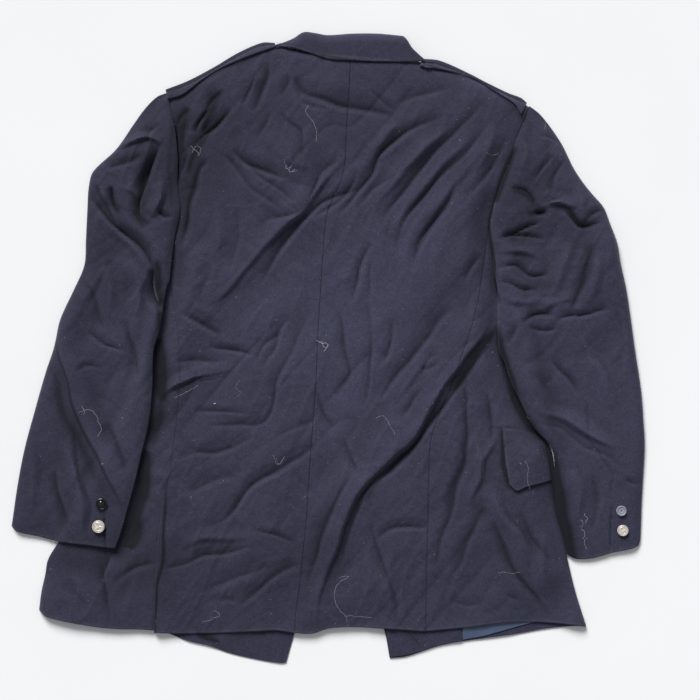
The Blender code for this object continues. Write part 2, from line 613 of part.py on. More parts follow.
def make_collar(group):
    """The fall turns over at its top edge and lies on the back; the stand is under it."""

    def height(x, y, v):
        from_roll = np.abs(beside(COLLAR_TOP, EDGE_SAMPLES, x, y)[0])
        shape = EDGE_HEIGHT + COLLAR_EDGE_RISE + (COLLAR_TOP_HEIGHT - EDGE_HEIGHT) * roll(from_roll / COLLAR_ROLL)
        return np.maximum(shape, body_height(x, y) + COLLAR_LIFT)

    place = patch(edge(COLLAR_POINT), edge(COLLAR_END), edge(COLLAR_TOP), edge(COLLAR_FALL_EDGE))
    cloth(group, "collar_fall", place, height, *COLLAR_GRID, NAVY)
    ends = [edge((STAND_TOP[k], STAND_SEAM[k])) for k in (0, -1)]
    place = patch(*ends, edge(STAND_TOP), edge(STAND_SEAM))

    def stand_height(x, y, v):
        return STAND_TOP_HEIGHT + (EDGE_HEIGHT - STAND_TOP_HEIGHT) * v

    cloth(group, "collar_stand", place, stand_height, *STAND_GRID, NAVY_DARK)


def make_straps(group):
    """Each shoulder strap follows the back's roll at the shoulder, a layer above it."""
    for side, out, inner in (
        ("left", STRAP_LEFT_OUT, STRAP_LEFT_IN),
        ("right", STRAP_RIGHT_OUT, STRAP_RIGHT_IN),
    ):
        place = patch(edge((out[0], inner[0])), edge((out[-1], inner[-1])), edge(out), edge(inner))
        cloth(group, f"shoulder_strap_{side}", place, on_body(STRAP_CLEARANCE), *STRAP_GRID, NAVY)


def make_flap(group):
    place = patch(edge(FLAP_LEFT), edge(FLAP_RIGHT), edge(FLAP_TOP), edge(FLAP_BOTTOM))

    def height(x, y, v):
        return side_height(x, y, v) + FLAP_CLEARANCE

    cloth(group, "pocket_flap_right", place, height, *FLAP_GRID, NAVY)


def make_inside(group):
    """The right front's facing and lining, which show below the hem."""
    above = CLOTH + SEAM_GAP + FACING_CLOTH / 2
    for name, left, right, hem, finish in (
        ("facing_right", FACING_EDGE, FACING_SIDE, FACING_HEM, NAVY_DARK),
        ("lining_right", LINING_EDGE, LINING_SIDE, LINING_HEM, LINING),
    ):
        place = patch(edge(left), edge(right), edge((left[0], right[0])), edge(hem))
        cloth(group, name, place, level(above), *INSIDE_GRID, finish, FACING_CLOTH)


def top_of(part, x, y, radius):
    """The highest point of a part's surface under a round footprint, in millimetres."""
    bm = bmesh.new()
    bm.from_mesh(part.data)
    tree = BVHTree.FromBMesh(bm)
    highest = 0.0
    for reach in (0.0, 0.5, 1.0):
        for turn in np.linspace(0.0, 2 * np.pi, FOOTPRINT_STEPS, endpoint=False):
            out_x, out_y = reach * radius * np.cos(turn), reach * radius * np.sin(turn)
            start = Vector((x + out_x, y + out_y, ABOVE_ALL)) * MM
            hit = tree.ray_cast(start, Vector((0.0, 0.0, -1.0)))[0]
            if hit is not None:
                highest = max(highest, hit.z / MM)
    bm.free()
    return highest


def make_button(group, button):
    """A domed button: a profile from the dome's top down to its flat back, turned round."""
    radius, rim = button.diameter / 2, button.height * BUTTON_RIM
    dome = [
        (radius * BUTTON_SHOULDER * np.sin(turn), rim + (button.height - rim) * np.cos(turn))
        for turn in np.linspace(0.0, np.pi / 2, DOME_STEPS)
    ]
    profile = dome + [(radius, rim * 0.75), (radius, rim * 0.25), (radius * BUTTON_BACK, 0.0), (0.0, 0.0)]
    mesh = bpy.data.meshes.new(button.name)
    points = [(r * MM, 0.0, z * MM) for r, z in profile]
    mesh.from_pydata(points, [(i, i + 1) for i in range(len(points) - 1)], [])
    mesh.materials.append(material_for(button.name, button.finish))
    part = bpy.data.objects.new(button.name, mesh)
    group.objects.link(part)
    turned = part.modifiers.new("turned", "SCREW")
    turned.steps = turned.render_steps = BUTTON_SIDES
    turned.use_merge_vertices = True
    turned.merge_threshold = 0.00001
    turned.use_smooth_shade = True
    seat = top_of(group.objects[button.on], button.x, button.y, radius) + SEAM_GAP
    part.location = Vector((button.x, button.y, seat)) * MM
    return part


def main():
    for old in list(bpy.data.objects):
        bpy.data.objects.remove(old)
    group = collection_for(COLLECTION)
    make_fronts(group)
    make_inside(group)
    make_sides(group)
    make_backs(group)
    make_sleeve(
        group, "left", SLEEVE_OUT_LEFT, ARMHOLE_LEFT, SLEEVE_IN_LEFT, CUFF_LEFT,
        SLEEVE_LEFT_FOLDS, BODY_EDGE_LEFT, LEFT_ARMHOLE_ROWS,
    )
    make_sleeve(
        group, "right", SLEEVE_OUT_RIGHT, ARMHOLE_RIGHT, SLEEVE_IN_RIGHT, CUFF_RIGHT,
        SLEEVE_RIGHT_FOLDS, BODY_EDGE_RIGHT, RIGHT_ARMHOLE_ROWS,
    )
    make_collar(group)
    make_straps(group)
    make_flap(group)
    for button in BUTTONS:
        make_button(group, button)


main()
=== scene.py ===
"""A service dress jacket laid flat with its back up: its cloth, buttons, sewing, lint and stage.

Lengths in the tables are millimetres: X to the right, Y towards the collar, Z up from the table.
"""

from collections import namedtuple

import bpy
import numpy as np
from bpy.props import FloatProperty, FloatVectorProperty, PointerProperty
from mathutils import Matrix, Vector


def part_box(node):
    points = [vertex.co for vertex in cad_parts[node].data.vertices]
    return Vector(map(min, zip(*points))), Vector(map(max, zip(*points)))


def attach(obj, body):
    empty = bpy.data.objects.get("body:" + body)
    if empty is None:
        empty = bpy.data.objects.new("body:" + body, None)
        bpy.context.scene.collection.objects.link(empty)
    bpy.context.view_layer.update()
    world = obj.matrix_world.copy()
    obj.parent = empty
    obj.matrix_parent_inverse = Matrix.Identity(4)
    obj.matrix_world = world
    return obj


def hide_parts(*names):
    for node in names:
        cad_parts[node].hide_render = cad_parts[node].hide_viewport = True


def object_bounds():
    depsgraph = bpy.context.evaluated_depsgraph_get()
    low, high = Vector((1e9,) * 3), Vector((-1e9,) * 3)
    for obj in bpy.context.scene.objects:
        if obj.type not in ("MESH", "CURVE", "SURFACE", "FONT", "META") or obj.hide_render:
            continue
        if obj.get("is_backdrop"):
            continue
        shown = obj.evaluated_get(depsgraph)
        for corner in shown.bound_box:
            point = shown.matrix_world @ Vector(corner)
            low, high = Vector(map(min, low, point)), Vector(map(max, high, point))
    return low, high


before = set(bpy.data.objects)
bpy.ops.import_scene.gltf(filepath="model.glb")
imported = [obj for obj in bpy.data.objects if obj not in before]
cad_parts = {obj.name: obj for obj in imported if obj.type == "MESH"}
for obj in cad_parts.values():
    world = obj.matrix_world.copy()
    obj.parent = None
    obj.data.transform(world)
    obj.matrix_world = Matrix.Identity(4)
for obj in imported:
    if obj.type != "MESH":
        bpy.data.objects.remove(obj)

CAD_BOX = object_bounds()

bl_info = {
    "name": "Service Dress Jacket",
    "version": (1, 0, 0),
    "blender": (4, 5, 0),
    "location": "View3D > Sidebar > Jacket",
    "description": "Dresses the jacket's solids in creased twill, buttons, sewing and lint",
    "category": "Object",
}

MM = 0.001

# Cloth and clearances
SEAM_GAP = 0.3
LAYER = 1.95
ON_TABLE = 0.75
EDGE_HEIGHT = 3.3
ARMHOLE_HEIGHT = 10.2
UNDER_SLEEVE_HEIGHT = 8.2
COVERED_HEIGHT = 4.2
FACING_CLOTH = 1.2
STRAP_CLOTH = 2.0
FLAP_CLOTH = 1.8
HALF_TWILL = 0.75
ARMHOLE_RELIEF = 0.75
FRONT_RELIEF = 1.1
FRONT_WAVES = (42.0, 26.0, 20.0)
FRONT_SHOWS_Y = -350.0
FRONT_SHOWS_RUN = 20.0
COLLAR_HEIGHT = 13.0
COLLAR_LIFT = 2.1
COLLAR_TURN = 1.0
COLLAR_RELIEF = 0.5
COLLAR_WAVES = (30.0, 18.0, 10.0)
STAND_TOP_HEIGHT = 3.9
STRAP_CLEARANCE = 3.0
FLAP_CLEARANCE = 2.2

# How much the free edges of the collar, straps and flap spring up
COLLAR_SPRING = 1.6
STRAP_SPRING = 1.4
FLAP_SPRING = 1.2

# Widths over which the cloth rolls, rises and sinks
EDGE_ROLL = 14.0
COLLAR_ROLL = 12.0
SLEEVE_ROLL_OUT = 15.0
SLEEVE_ROLL_IN = 12.0
HEAD_ROLL = 26.0
SEAM_ROLL_START = 1.5
CUFF_CALM = 0.6
COVER_START = 2.0
COVER_RISE = 34.0
COVER_END_Y = -340.0
COVER_END_RUN = 55.0
ARMHOLE_BLEND = 26.0
UNDER_STEP = 24.0
UNDER_STEP_BEFORE = 0.75
SLEEVE_OFF_BODY_Y = -122.0
SLEEVE_OFF_BODY_RUN = 42.0
LIP_RADIUS = 2.3
UNDER_INSET = 3.2
UNDER_INSET_AT_SEAM = 1.4
SOFT_FLOOR = 0.35

# Folded edges: the arc they turn through and its steps, and how round they are
LEVEL_LIP = ("level", np.pi, 6)
UPRIGHT_LIP = ("upright", np.pi / 2, 4)
HEM_RADIUS = 0.9
CUFF_RADIUS = 0.8
FINE_RADIUS = 0.5
STRAP_RADIUS = 0.6
FINE_ENDS = (("left", FINE_RADIUS, LEVEL_LIP), ("right", FINE_RADIUS, LEVEL_LIP))
FreedLip = namedtuple("FreedLip", "sewn_radius growth run")
VENT_LIP = FreedLip(0.12, 0.8, 0.02)
SLEEVE_LIP = FreedLip(0.1, 2.4, 0.06)

# Rows of points next to an edge, samples of curves, and the angle past which an edge is sharp
NEAR_EDGE = (0.0, 0.35, 0.9, 1.7, 2.8, 4.2, 6.0, 8.2)
PATH_SAMPLES = 26
EDGE_SAMPLES = 90
CURVE_STEPS = 12
SHARP_ANGLE = 50.0

# Creases: how far they wander, lean and vary, and the shares and widths of their core and shoulders
WANDER = 3.2
WANDER_SIZE = 34.0
LIGHT_SIDE = (-0.5, 0.87)
LEAN = 0.5
CORE_SHARE = 0.36
CORE_WIDTH = 0.26
CORE_POWER = 1.5
CREASE_WIDTH = 0.88
CREASE_HEIGHT = 1.2
CREASE_REACH = 2.8
SHOULDER_SHARE = 0.12
SHOULDER_AT = 1.35
SHOULDER_WIDTH = 0.55
UNEVEN = 0.35
UNEVEN_WIDTH = 0.25
UNEVEN_LENGTH = 34.0
CREASE_TAPER = 0.7

# Small wrinkles: how sharp their tops are, their mean height, and the patches that they come in
WRINKLE_SHARP = 5.0
WRINKLE_MEAN = 0.3
WRINKLE_PATCH = (110.0, 80.0, 30.0)
PATCH_MEAN = 0.45
PATCH_CONTRAST = 0.9

# Painted light and shade in the cloth's colour: painted shadow lines in folds, painted highlights on tops and
# painted shade in hollows, painted shade at joins, and rubbed edges with a painted highlight
FOLD_LEAST = 2.0
FOLD_DARK = 0.052
FOLD_CORE = 0.2
FOLD_SIDE = 0.55
SHADOW_REACH = 2.5
SHADOW_TAPER = 0.4
CAVITIES = ((2, 3.0), (7, 3.2))
HOLLOW_SHADE = 0.4
TOP_HIGHLIGHT = 0.16
CAVITY_EDGE = 12.0
LIGHT_AND_SHADE_LIMITS = (-0.78, 0.6)
# Painted shade: the straps are painted darker, as they turn away from the light
STRAP_SHADE = -0.12
JOIN_SHADE_REACH = 0.7
RUB_AND_HIGHLIGHT_REACH = 2.2

# Seams: the groove, the ridge of the allowance inside, and the puckers along them
SEAM_HALF_WIDTH = 1.5
ALLOWANCE_AT = 7.5
ALLOWANCE_WIDTH = 3.2
PUCKER_LENGTH = 17.0
PUCKER_HEIGHT = 0.32
PUCKER_REACH = 10.0

# Threads and lint: a seat is the share of the radius by which the middle stands above the cloth
THREAD_SEAT = 0.8
SPECK_SEAT = 0.7
FIBRE_SIDES = 6
LOOP_SIDES = 8
SPECK_SIDES = 4
CURL_SIZE = 4.0
THREAD_CURL = 1.5
THREAD_POINTS = 34
LOOP_POINTS = 28
LOOP_LIFT = 0.6
NAVY_THREAD = (0.03, 0.031, 0.055)
SOFT_LINT = (0.13, 0.135, 0.16)
SEARCH_REACH = 5.0
ON_CLOTH_REACH = 4.0

# Stage, in metres
TABLE_HALF = 4.0
TABLE_Z = -0.0002
SKY_COLOUR = (0.93, 0.96, 1.0)
SENSOR_WIDTH = 36.0
VIEW_REACH = 20.0
LAMP_AWAY = 2.0
PICTURE_MIDDLE = (30.4, -3.4)
KEY_TURN = np.radians(20.0)

# Vent on the left side, and how far the side panel runs on under the back there
VENT_TOP_Y = -194.0
VENT_UNDERLAP = 24.0
VENT_UNDERLAP_BELOW = 4.0
VENT_UNDERLAP_RUN = 22.0
VENT_HEM_CORNER = (-208, -382)
VENT_STEP = 2.7
VENT_STEP_START_Y = -166.0
VENT_STEP_RUN = 26.0
VENT_LEVEL = 26.0
VENT_REACH = 70.0
VENT_CLEAR_RUN = 20.0
VENT_CLEAR_LEVEL = 28.0
VENT_CLEARANCE = LAYER + 0.5
VENT_SHARE = 0.735

# Shares of a sleeve's length over which it leaves the armhole's seam, and calms above the cuff
FREE_BEFORE = 0.11
FREE_RUN = 0.08
BELOW_BEFORE = 0.075
BELOW_RUN = 0.055
HEAD_RUN = 0.05
CALM_FROM = 0.5
CALM_RUN = 0.25

# Shares of the edges at which the armhole ends, and at which a top edge changes to the neck
LEFT_ARMHOLE_SHARE = 13 / 40
RIGHT_ARMHOLE_SHARE = 9 / 40
LEFT_FRONT_SHARE = 0.5
RIGHT_FRONT_SHARE = 0.375
LEFT_SHOULDER_SHARE = 0.62
RIGHT_NECK_SHARE = 0.4
LEFT_SLEEVE_SHARE = 13 / 34
RIGHT_SLEEVE_SHARE = 9 / 34

# Edges of the pieces, each a row of (x, y) from the collar end to the hem end
ARMHOLE_LEFT = (
    (-214, 334), (-213, 325), (-206, 295), (-202, 257), (-202, 217),
    (-199, 184), (-206, 148), (-210, 117), (-213, 89),
)
SIDE_SEAM_LEFT = (
    (-213, 89), (-204, 37), (-198, -24), (-201, -80), (-206, -125), (-211, -165),
    (-216, -194), (-220, -206), (-225, -250), (-228, -288), (-230, -319), (-232, -383),
)
CENTRE_SEAM = (
    (31, 396), (31, 385), (28, 329), (26, 300), (21, 234), (0, 181), (-5, 138), (-10, 64),
    (-13, 10), (-15, -40), (-18, -84), (-22, -134), (-25, -179), (-29, -236), (-32, -267),
    (-37, -317), (-43, -358), (-44, -383),
)
ARMHOLE_RIGHT = (
    (270, 324), (265, 308), (259, 294), (253, 276), (248, 253), (236, 228), (224, 190),
    (219, 172),
)
SIDE_SEAM_RIGHT = (
    (219, 172), (211, 115), (203, 64), (192, 22), (179, -15), (168, -48), (152, -86),
    (140, -120), (137, -152), (136, -214), (134, -281), (133, -333), (132, -381),
)
BODY_EDGE_LEFT = (
    (-221, 84), (-238, 17), (-260, -64), (-291, -138), (-327, -206), (-361, -261),
    (-376, -286), (-380, -307), (-385, -329), (-388, -353),
)
BODY_EDGE_RIGHT = (
    (227, 165), (243, 115), (258, 51), (276, -37), (293, -118), (303.5, -148), (305.5, -177),
    (307.5, -215), (313.5, -242), (321, -277), (333, -327), (348, -375),
)
SLEEVE_OUT_LEFT = (
    (-216, 343), (-230, 337), (-245, 322), (-261, 300), (-284, 267), (-315, 237),
    (-321, 217), (-323, 186), (-325, 145), (-327, 111), (-341, 78), (-354, 51), (-361, 33),
    (-368, 0), (-379, -33), (-393, -82), (-408, -138), (-417, -185), (-425, -240),
)
SLEEVE_IN_LEFT = (
    (-213, 89), (-217, 80), (-226, 24), (-234, -3), (-236, -55), (-241, -102), (-250, -140),
    (-260, -182), (-271, -222), (-277, -244), (-286, -269),
)
CUFF_LEFT = ((-425, -240), (-417, -247), (-390, -253), (-361, -260), (-320, -265), (-286, -269))
SLEEVE_OUT_RIGHT = (
    (272, 325), (287, 313), (314, 276), (331, 242), (344, 222), (356, 207), (372, 188),
    (380, 168), (390, 141), (394, 117), (402, 80), (407, 48), (414, -3), (422, -57),
    (425, -94), (427, -130), (425, -172), (423, -209), (421, -260), (419, -266),
)
SLEEVE_IN_RIGHT = (
    (219, 172), (219, 149), (223, 129), (224, 105), (229, 80), (229, 48), (231, -3),
    (238, -18), (248, -48), (260, -72), (276, -105), (300, -131), (305.5, -147), (306.5, -177),
    (308.5, -215), (314.5, -242), (322, -277),
)
CUFF_RIGHT = (
    (419, -266), (410, -270), (385, -275), (361, -282), (344, -284), (333, -283), (322, -277),
)

# Edges that run from the left to the right
SHOULDER_LEFT = ((-214, 334), (-187, 353), (-161, 367), (-118, 392), (-88, 405), (-66, 406.5))
NECK_LEFT = ((-66, 406.5), (-58, 405), (-46, 402), (-10, 399), (31, 396))
NECK_RIGHT = ((31, 396), (70, 393), (100, 389), (128, 384))
SHOULDER_RIGHT = ((128, 384), (151, 379), (192, 363), (213, 352), (244, 337), (262, 329), (270, 324))
HEM_BACK_LEFT = ((-232, -383), (-173, -384), (-95, -381), (-68, -380), (-44, -383))
HEM_BACK_RIGHT = ((-44, -383), (-21, -384), (1, -377), (29, -375), (75, -377), (132, -381))
HEM_SIDE_LEFT = ((-388, -353), (-376, -362), (-315, -374), (-285, -377), (-244, -378), (-232, -381))
HEM_SIDE_RIGHT = ((132, -381), (182, -376), (241, -369), (287, -369), (330, -372), (348, -375))
HEM_FRONT_LEFT = (
    (-388, -353), (-376, -362), (-315, -374), (-285, -377), (-222, -384), (-192, -395),
    (-159, -403), (-134, -412), (-95, -421), (-63, -426), (-56, -425),
)
HEM_FRONT_RIGHT = (
    (84, -419), (106, -417), (150, -403), (187, -396), (260, -386), (299, -379),
    (331, -376), (348, -376),
)
FRONT_EDGE_LEFT = (
    (-74, 398), (-20, 310), (8, 200), (12, 60), (10, -100), (-8, -260), (-44, -383),
    (-56, -425),
)
FRONT_EDGE_RIGHT = (
    (126, 372), (60, 310), (18, 200), (15, 60), (16, -100), (34, -260), (76, -379),
    (84, -419),
)

# The body's height above the table, from the shoulders to the hem
Rise = namedtuple("Rise", "y height")
BODY_RISE = (
    Rise(400, 14.0), Rise(330, 14.5), Rise(230, 12.5), Rise(80, 10.0), Rise(-120, 9.5),
    Rise(-300, 8.0), Rise(-385, 6.2),
)

# How far the top sleeve stands off the under sleeve, by the share of its length
Puff = namedtuple("Puff", "share height")
SLEEVE_PUFF = (Puff(0.0, 2.0), Puff(0.12, 7.0), Puff(0.4, 7.5), Puff(0.75, 5.5), Puff(1.0, 2.6))

# Collar, straps, flap, facing and lining
COLLAR_TOP = ((-62, 409), (-45, 416), (-32, 424), (-18, 423), (0, 420), (33, 422), (68, 422), (101, 419))
COLLAR_END = ((101, 419), (106, 413), (113, 402), (130, 386))
COLLAR_FALL_EDGE = (
    (-69, 406), (-47, 404), (-28, 398), (-9, 391), (6, 387), (32, 385), (79, 383),
    (130, 383),
)
COLLAR_POINT = ((-62, 409), (-69, 406))
STAND_TOP = ((-54, 411), (-45, 415), (-32, 423), (-18, 422), (0, 419), (33, 421), (68, 421), (99, 418))
STAND_SEAM = ((-51, 405.6), (-46, 403.8), (-10, 399.8), (31, 396.8), (70, 394.2), (104, 391.0))
STRAP_LEFT_OUT = ((-216.5, 346.5), (-187, 358), (-153, 376), (-119, 396), (-88, 409), (-72, 409))
STRAP_LEFT_IN = ((-214, 335.5), (-195, 341), (-172, 358), (-146, 375), (-105, 393), (-71, 405))
STRAP_RIGHT_OUT = ((128.5, 387.5), (151, 385), (192, 367), (213, 356), (244, 341), (260, 335), (267, 329))
STRAP_RIGHT_IN = ((125.5, 378.5), (166, 372), (197, 362), (213, 352), (240, 336), (253, 327), (260, 315))
FLAP_TOP = ((237, -116), (256, -113), (282, -115))
FLAP_LEFT = ((237, -116), (240, -145), (246, -184))
FLAP_BOTTOM = ((246, -184), (254, -191), (267, -186), (300, -178))
FLAP_RIGHT = ((282, -115), (292, -136), (300, -178))
FACING_EDGE = ((64, -340), (78, -379), (86, -417))
FACING_SIDE = ((180, -340), (181.5, -396.2))
FACING_HEM = ((86, -417), (106, -414.6), (127, -409), (150, -401.6), (181.5, -396.2))
LINING_EDGE = ((181, -340), (182.5, -394))
LINING_SIDE = ((286, -340), (287, -369))
LINING_HEM = ((182.5, -394), (207, -389.5), (228, -384), (253, -377), (272, -372), (287, -369))
STRAP_LOOP = ((142, 384), (133, 385), (128, 384), (127, 380.5), (131, 377), (140, 375.5))
STRAP_LOOP_RADIUS = 0.9


def smooth(x):
    """Nought below 0, one above 1, and a soft rise between."""
    x = np.clip(x, 0.0, 1.0)
    return x * x * (3.0 - 2.0 * x)


def roll(x):
    """A quarter circle, from nought at 0 to one at 1."""
    return np.sqrt(1.0 - (1.0 - np.clip(x, 0.0, 1.0)) ** 2)


def bell(distance, width):
    """A soft bell: exp(-(distance / width)^2)."""
    return np.exp(-((distance / width) ** 2))


def unit(vectors):
    """Vectors scaled to a length of one."""
    return vectors / np.maximum(np.linalg.norm(vectors, axis=-1, keepdims=True), 1e-12)


def dense_points(points):
    """Points along a smooth curve that passes through the given ones."""
    p = np.array(points, float)
    if len(p) == 2:
        share = np.linspace(0.0, 1.0, CURVE_STEPS)[:, None]
        return p[0] + (p[1] - p[0]) * share
    t = np.concatenate([[0.0], np.cumsum(np.linalg.norm(np.diff(p, axis=0), axis=1))])
    slope = np.empty_like(p)
    slope[1:-1] = (p[2:] - p[:-2]) / (t[2:] - t[:-2])[:, None]
    slope[0] = (p[1] - p[0]) / (t[1] - t[0])
    slope[-1] = (p[-1] - p[-2]) / (t[-1] - t[-2])
    s = np.linspace(0.0, 1.0, CURVE_STEPS, endpoint=False)[None, :, None]
    span = np.diff(t)[:, None, None]
    a, b = p[:-1, None], p[1:, None]
    sa, sb = slope[:-1, None] * span, slope[1:, None] * span
    curve = (
        (2 * s**3 - 3 * s**2 + 1) * a
        + (s**3 - 2 * s**2 + s) * sa
        + (3 * s**2 - 2 * s**3) * b
        + (s**3 - s**2) * sb
    )
    return np.vstack([curve.reshape(-1, 2), p[-1:]])


def edge(points, shift=0.0):
    """An edge as a function of the share of its length; shift moves it to its own left."""
    curve = dense_points(points)
    if shift:
        along = unit(np.gradient(curve, axis=0))
        curve = curve + shift * np.stack([-along[:, 1], along[:, 0]], axis=1)
    length = np.concatenate([[0.0], np.cumsum(np.linalg.norm(np.diff(curve, axis=0), axis=1))])
    share = length / length[-1]
    return lambda s: np.stack([np.interp(s, share, curve[:, k]) for k in (0, 1)], axis=1)


def joined(first, second, share):
    """One edge made of two, which meet at that share of it."""

    def at(s):
        s = np.asarray(s, float)
        early = first(np.clip(s / share, 0.0, 1.0))
        late = second(np.clip((s - share) / (1.0 - share), 0.0, 1.0))
        return np.where((s <= share)[:, None], early, late)

    return at


def patch(left, right, top, bottom):
    """Places between four edges: straight rows across, bowed as the top and bottom edges are."""

    def bow(line, u):
        """How far an edge bows from the straight line between its ends."""
        ends = line(np.array([0.0, 1.0]))
        return line(u) - (ends[0] + (ends[1] - ends[0]) * u[:, None])

    def at(u, v):
        a, b = u[:, None], v[:, None]
        across = (1 - a) * left(v) + a * right(v)
        return across + (1 - b) * bow(top, u) + b * bow(bottom, u)

    return at


def path_length(points):
    """The length of a curve through the points."""
    return np.linalg.norm(np.diff(dense_points(points), axis=0), axis=1).sum()


def beside(points, samples, x, y):
    """How far each place is from a curve, positive on its left, and the share along it."""
    curve = edge(points)(np.linspace(0.0, 1.0, samples))
    nearest = np.full(x.shape, np.inf)
    side, share = np.ones_like(x), np.zeros_like(x)
    for number in range(samples - 1):
        (ax, ay), (rx, ry) = curve[number], curve[number + 1] - curve[number]
        dx, dy = x - ax, y - ay
        t = np.clip((dx * rx + dy * ry) / (rx * rx + ry * ry), 0.0, 1.0)
        gap = np.hypot(dx - t * rx, dy - t * ry)
        closer = gap < nearest
        nearest[closer] = gap[closer]
        side[closer] = np.where(rx * dy - ry * dx >= 0, 1.0, -1.0)[closer]
        share[closer] = ((number + t) / (samples - 1))[closer]
    return nearest * side, share


def off(points, x, y):
    """How far each place is from an edge, positive on its left."""
    return beside(points, EDGE_SAMPLES, x, y)[0]


def within(points, reach, x, y):
    """Whether each place lies in the box round a path, or within reach of it."""
    path = np.array(points, float)
    low, high = path.min(axis=0) - reach, path.max(axis=0) + reach
    return (x > low[0]) & (x < high[0]) & (y > low[1]) & (y < high[1])


def turned_axes(x, y, degrees):
    """Places as they lie along and across a turned direction."""
    c, s = np.cos(np.radians(degrees)), np.sin(np.radians(degrees))
    return x * c + y * s, y * c - x * s


def table_at(rows, where):
    """A table of two columns read at other places, whichever way it runs."""
    keys = np.array([row[0] for row in rows], float)
    values = np.array([row[1] for row in rows], float)
    order = np.argsort(keys)
    return np.interp(where, keys[order], values[order])


OUTLINE_LEFT = SLEEVE_OUT_LEFT[::-1] + SHOULDER_LEFT[1:] + NECK_LEFT[1:]
OUTLINE_RIGHT = NECK_RIGHT + SHOULDER_RIGHT[1:-1] + SLEEVE_OUT_RIGHT

# Creases: left and right are the half widths on each side, as one walks along the path
Crease = namedtuple("Crease", "path left right height")


def even(path, half_width, height):
    """A crease as wide on both sides."""
    return Crease(path, half_width, half_width, height)


YOKE_CREASES = (
    even(((-43, 365), (-32, 345), (1, 335), (32, 321), (61, 317), (90, 314)), 12, -4.4),
    even(((57, 345), (75, 331), (92, 319)), 8, -2.0),
    even(((-82, 383), (-82, 358), (-92, 333), (-102, 318)), 9, -4.2),
    even(((-98, 368), (-107, 341), (-115, 327)), 8, -3.6),
    even(((-49, 365), (-53, 350), (-61, 335)), 7, -2.4),
    even(((-43, 362), (-40, 345), (-30, 330), (4, 322)), 8, -1.8),
    even(((-78, 318), (-86, 298), (-95, 280)), 6, -2.4),
    even(((-62, 318), (-50, 306), (-34, 292), (-34, 252)), 7, -2.2),
    even(((-183, 323), (-198, 303), (-203, 268), (-201, 214)), 10, -8.0),
    even(((-142, 345), (-160, 326), (-173, 303), (-176, 286)), 9, -7.5),
    even(((-128, 323), (-148, 300), (-171, 278), (-182, 262)), 9, -7.0),
    even(((-152, 330), (-170, 316), (-184, 290)), 9, 3.4),
    even(((-186, 266), (-192, 240), (-199, 216)), 6, -4.6),
    even(((-160, 252), (-171, 234), (-180, 202), (-198, 132)), 10, -6.0),
    even(((-125, 268), (-107, 248), (-82, 237), (-52, 225)), 9, -4.8),
    even(((-107, 250), (-88, 228), (-70, 214), (-43, 196)), 6, -2.4),
    even(((-138, 262), (-118, 236), (-98, 208), (-60, 184)), 8, -2.4),
    even(((-84, 288), (-66, 262), (-42, 244), (-20, 240)), 14, 2.4),
    even(((-150, 200), (-146, 150), (-158, 90)), 14, 1.8),
    even(((-118, 190), (-124, 130), (-132, 96)), 10, -1.6),
)
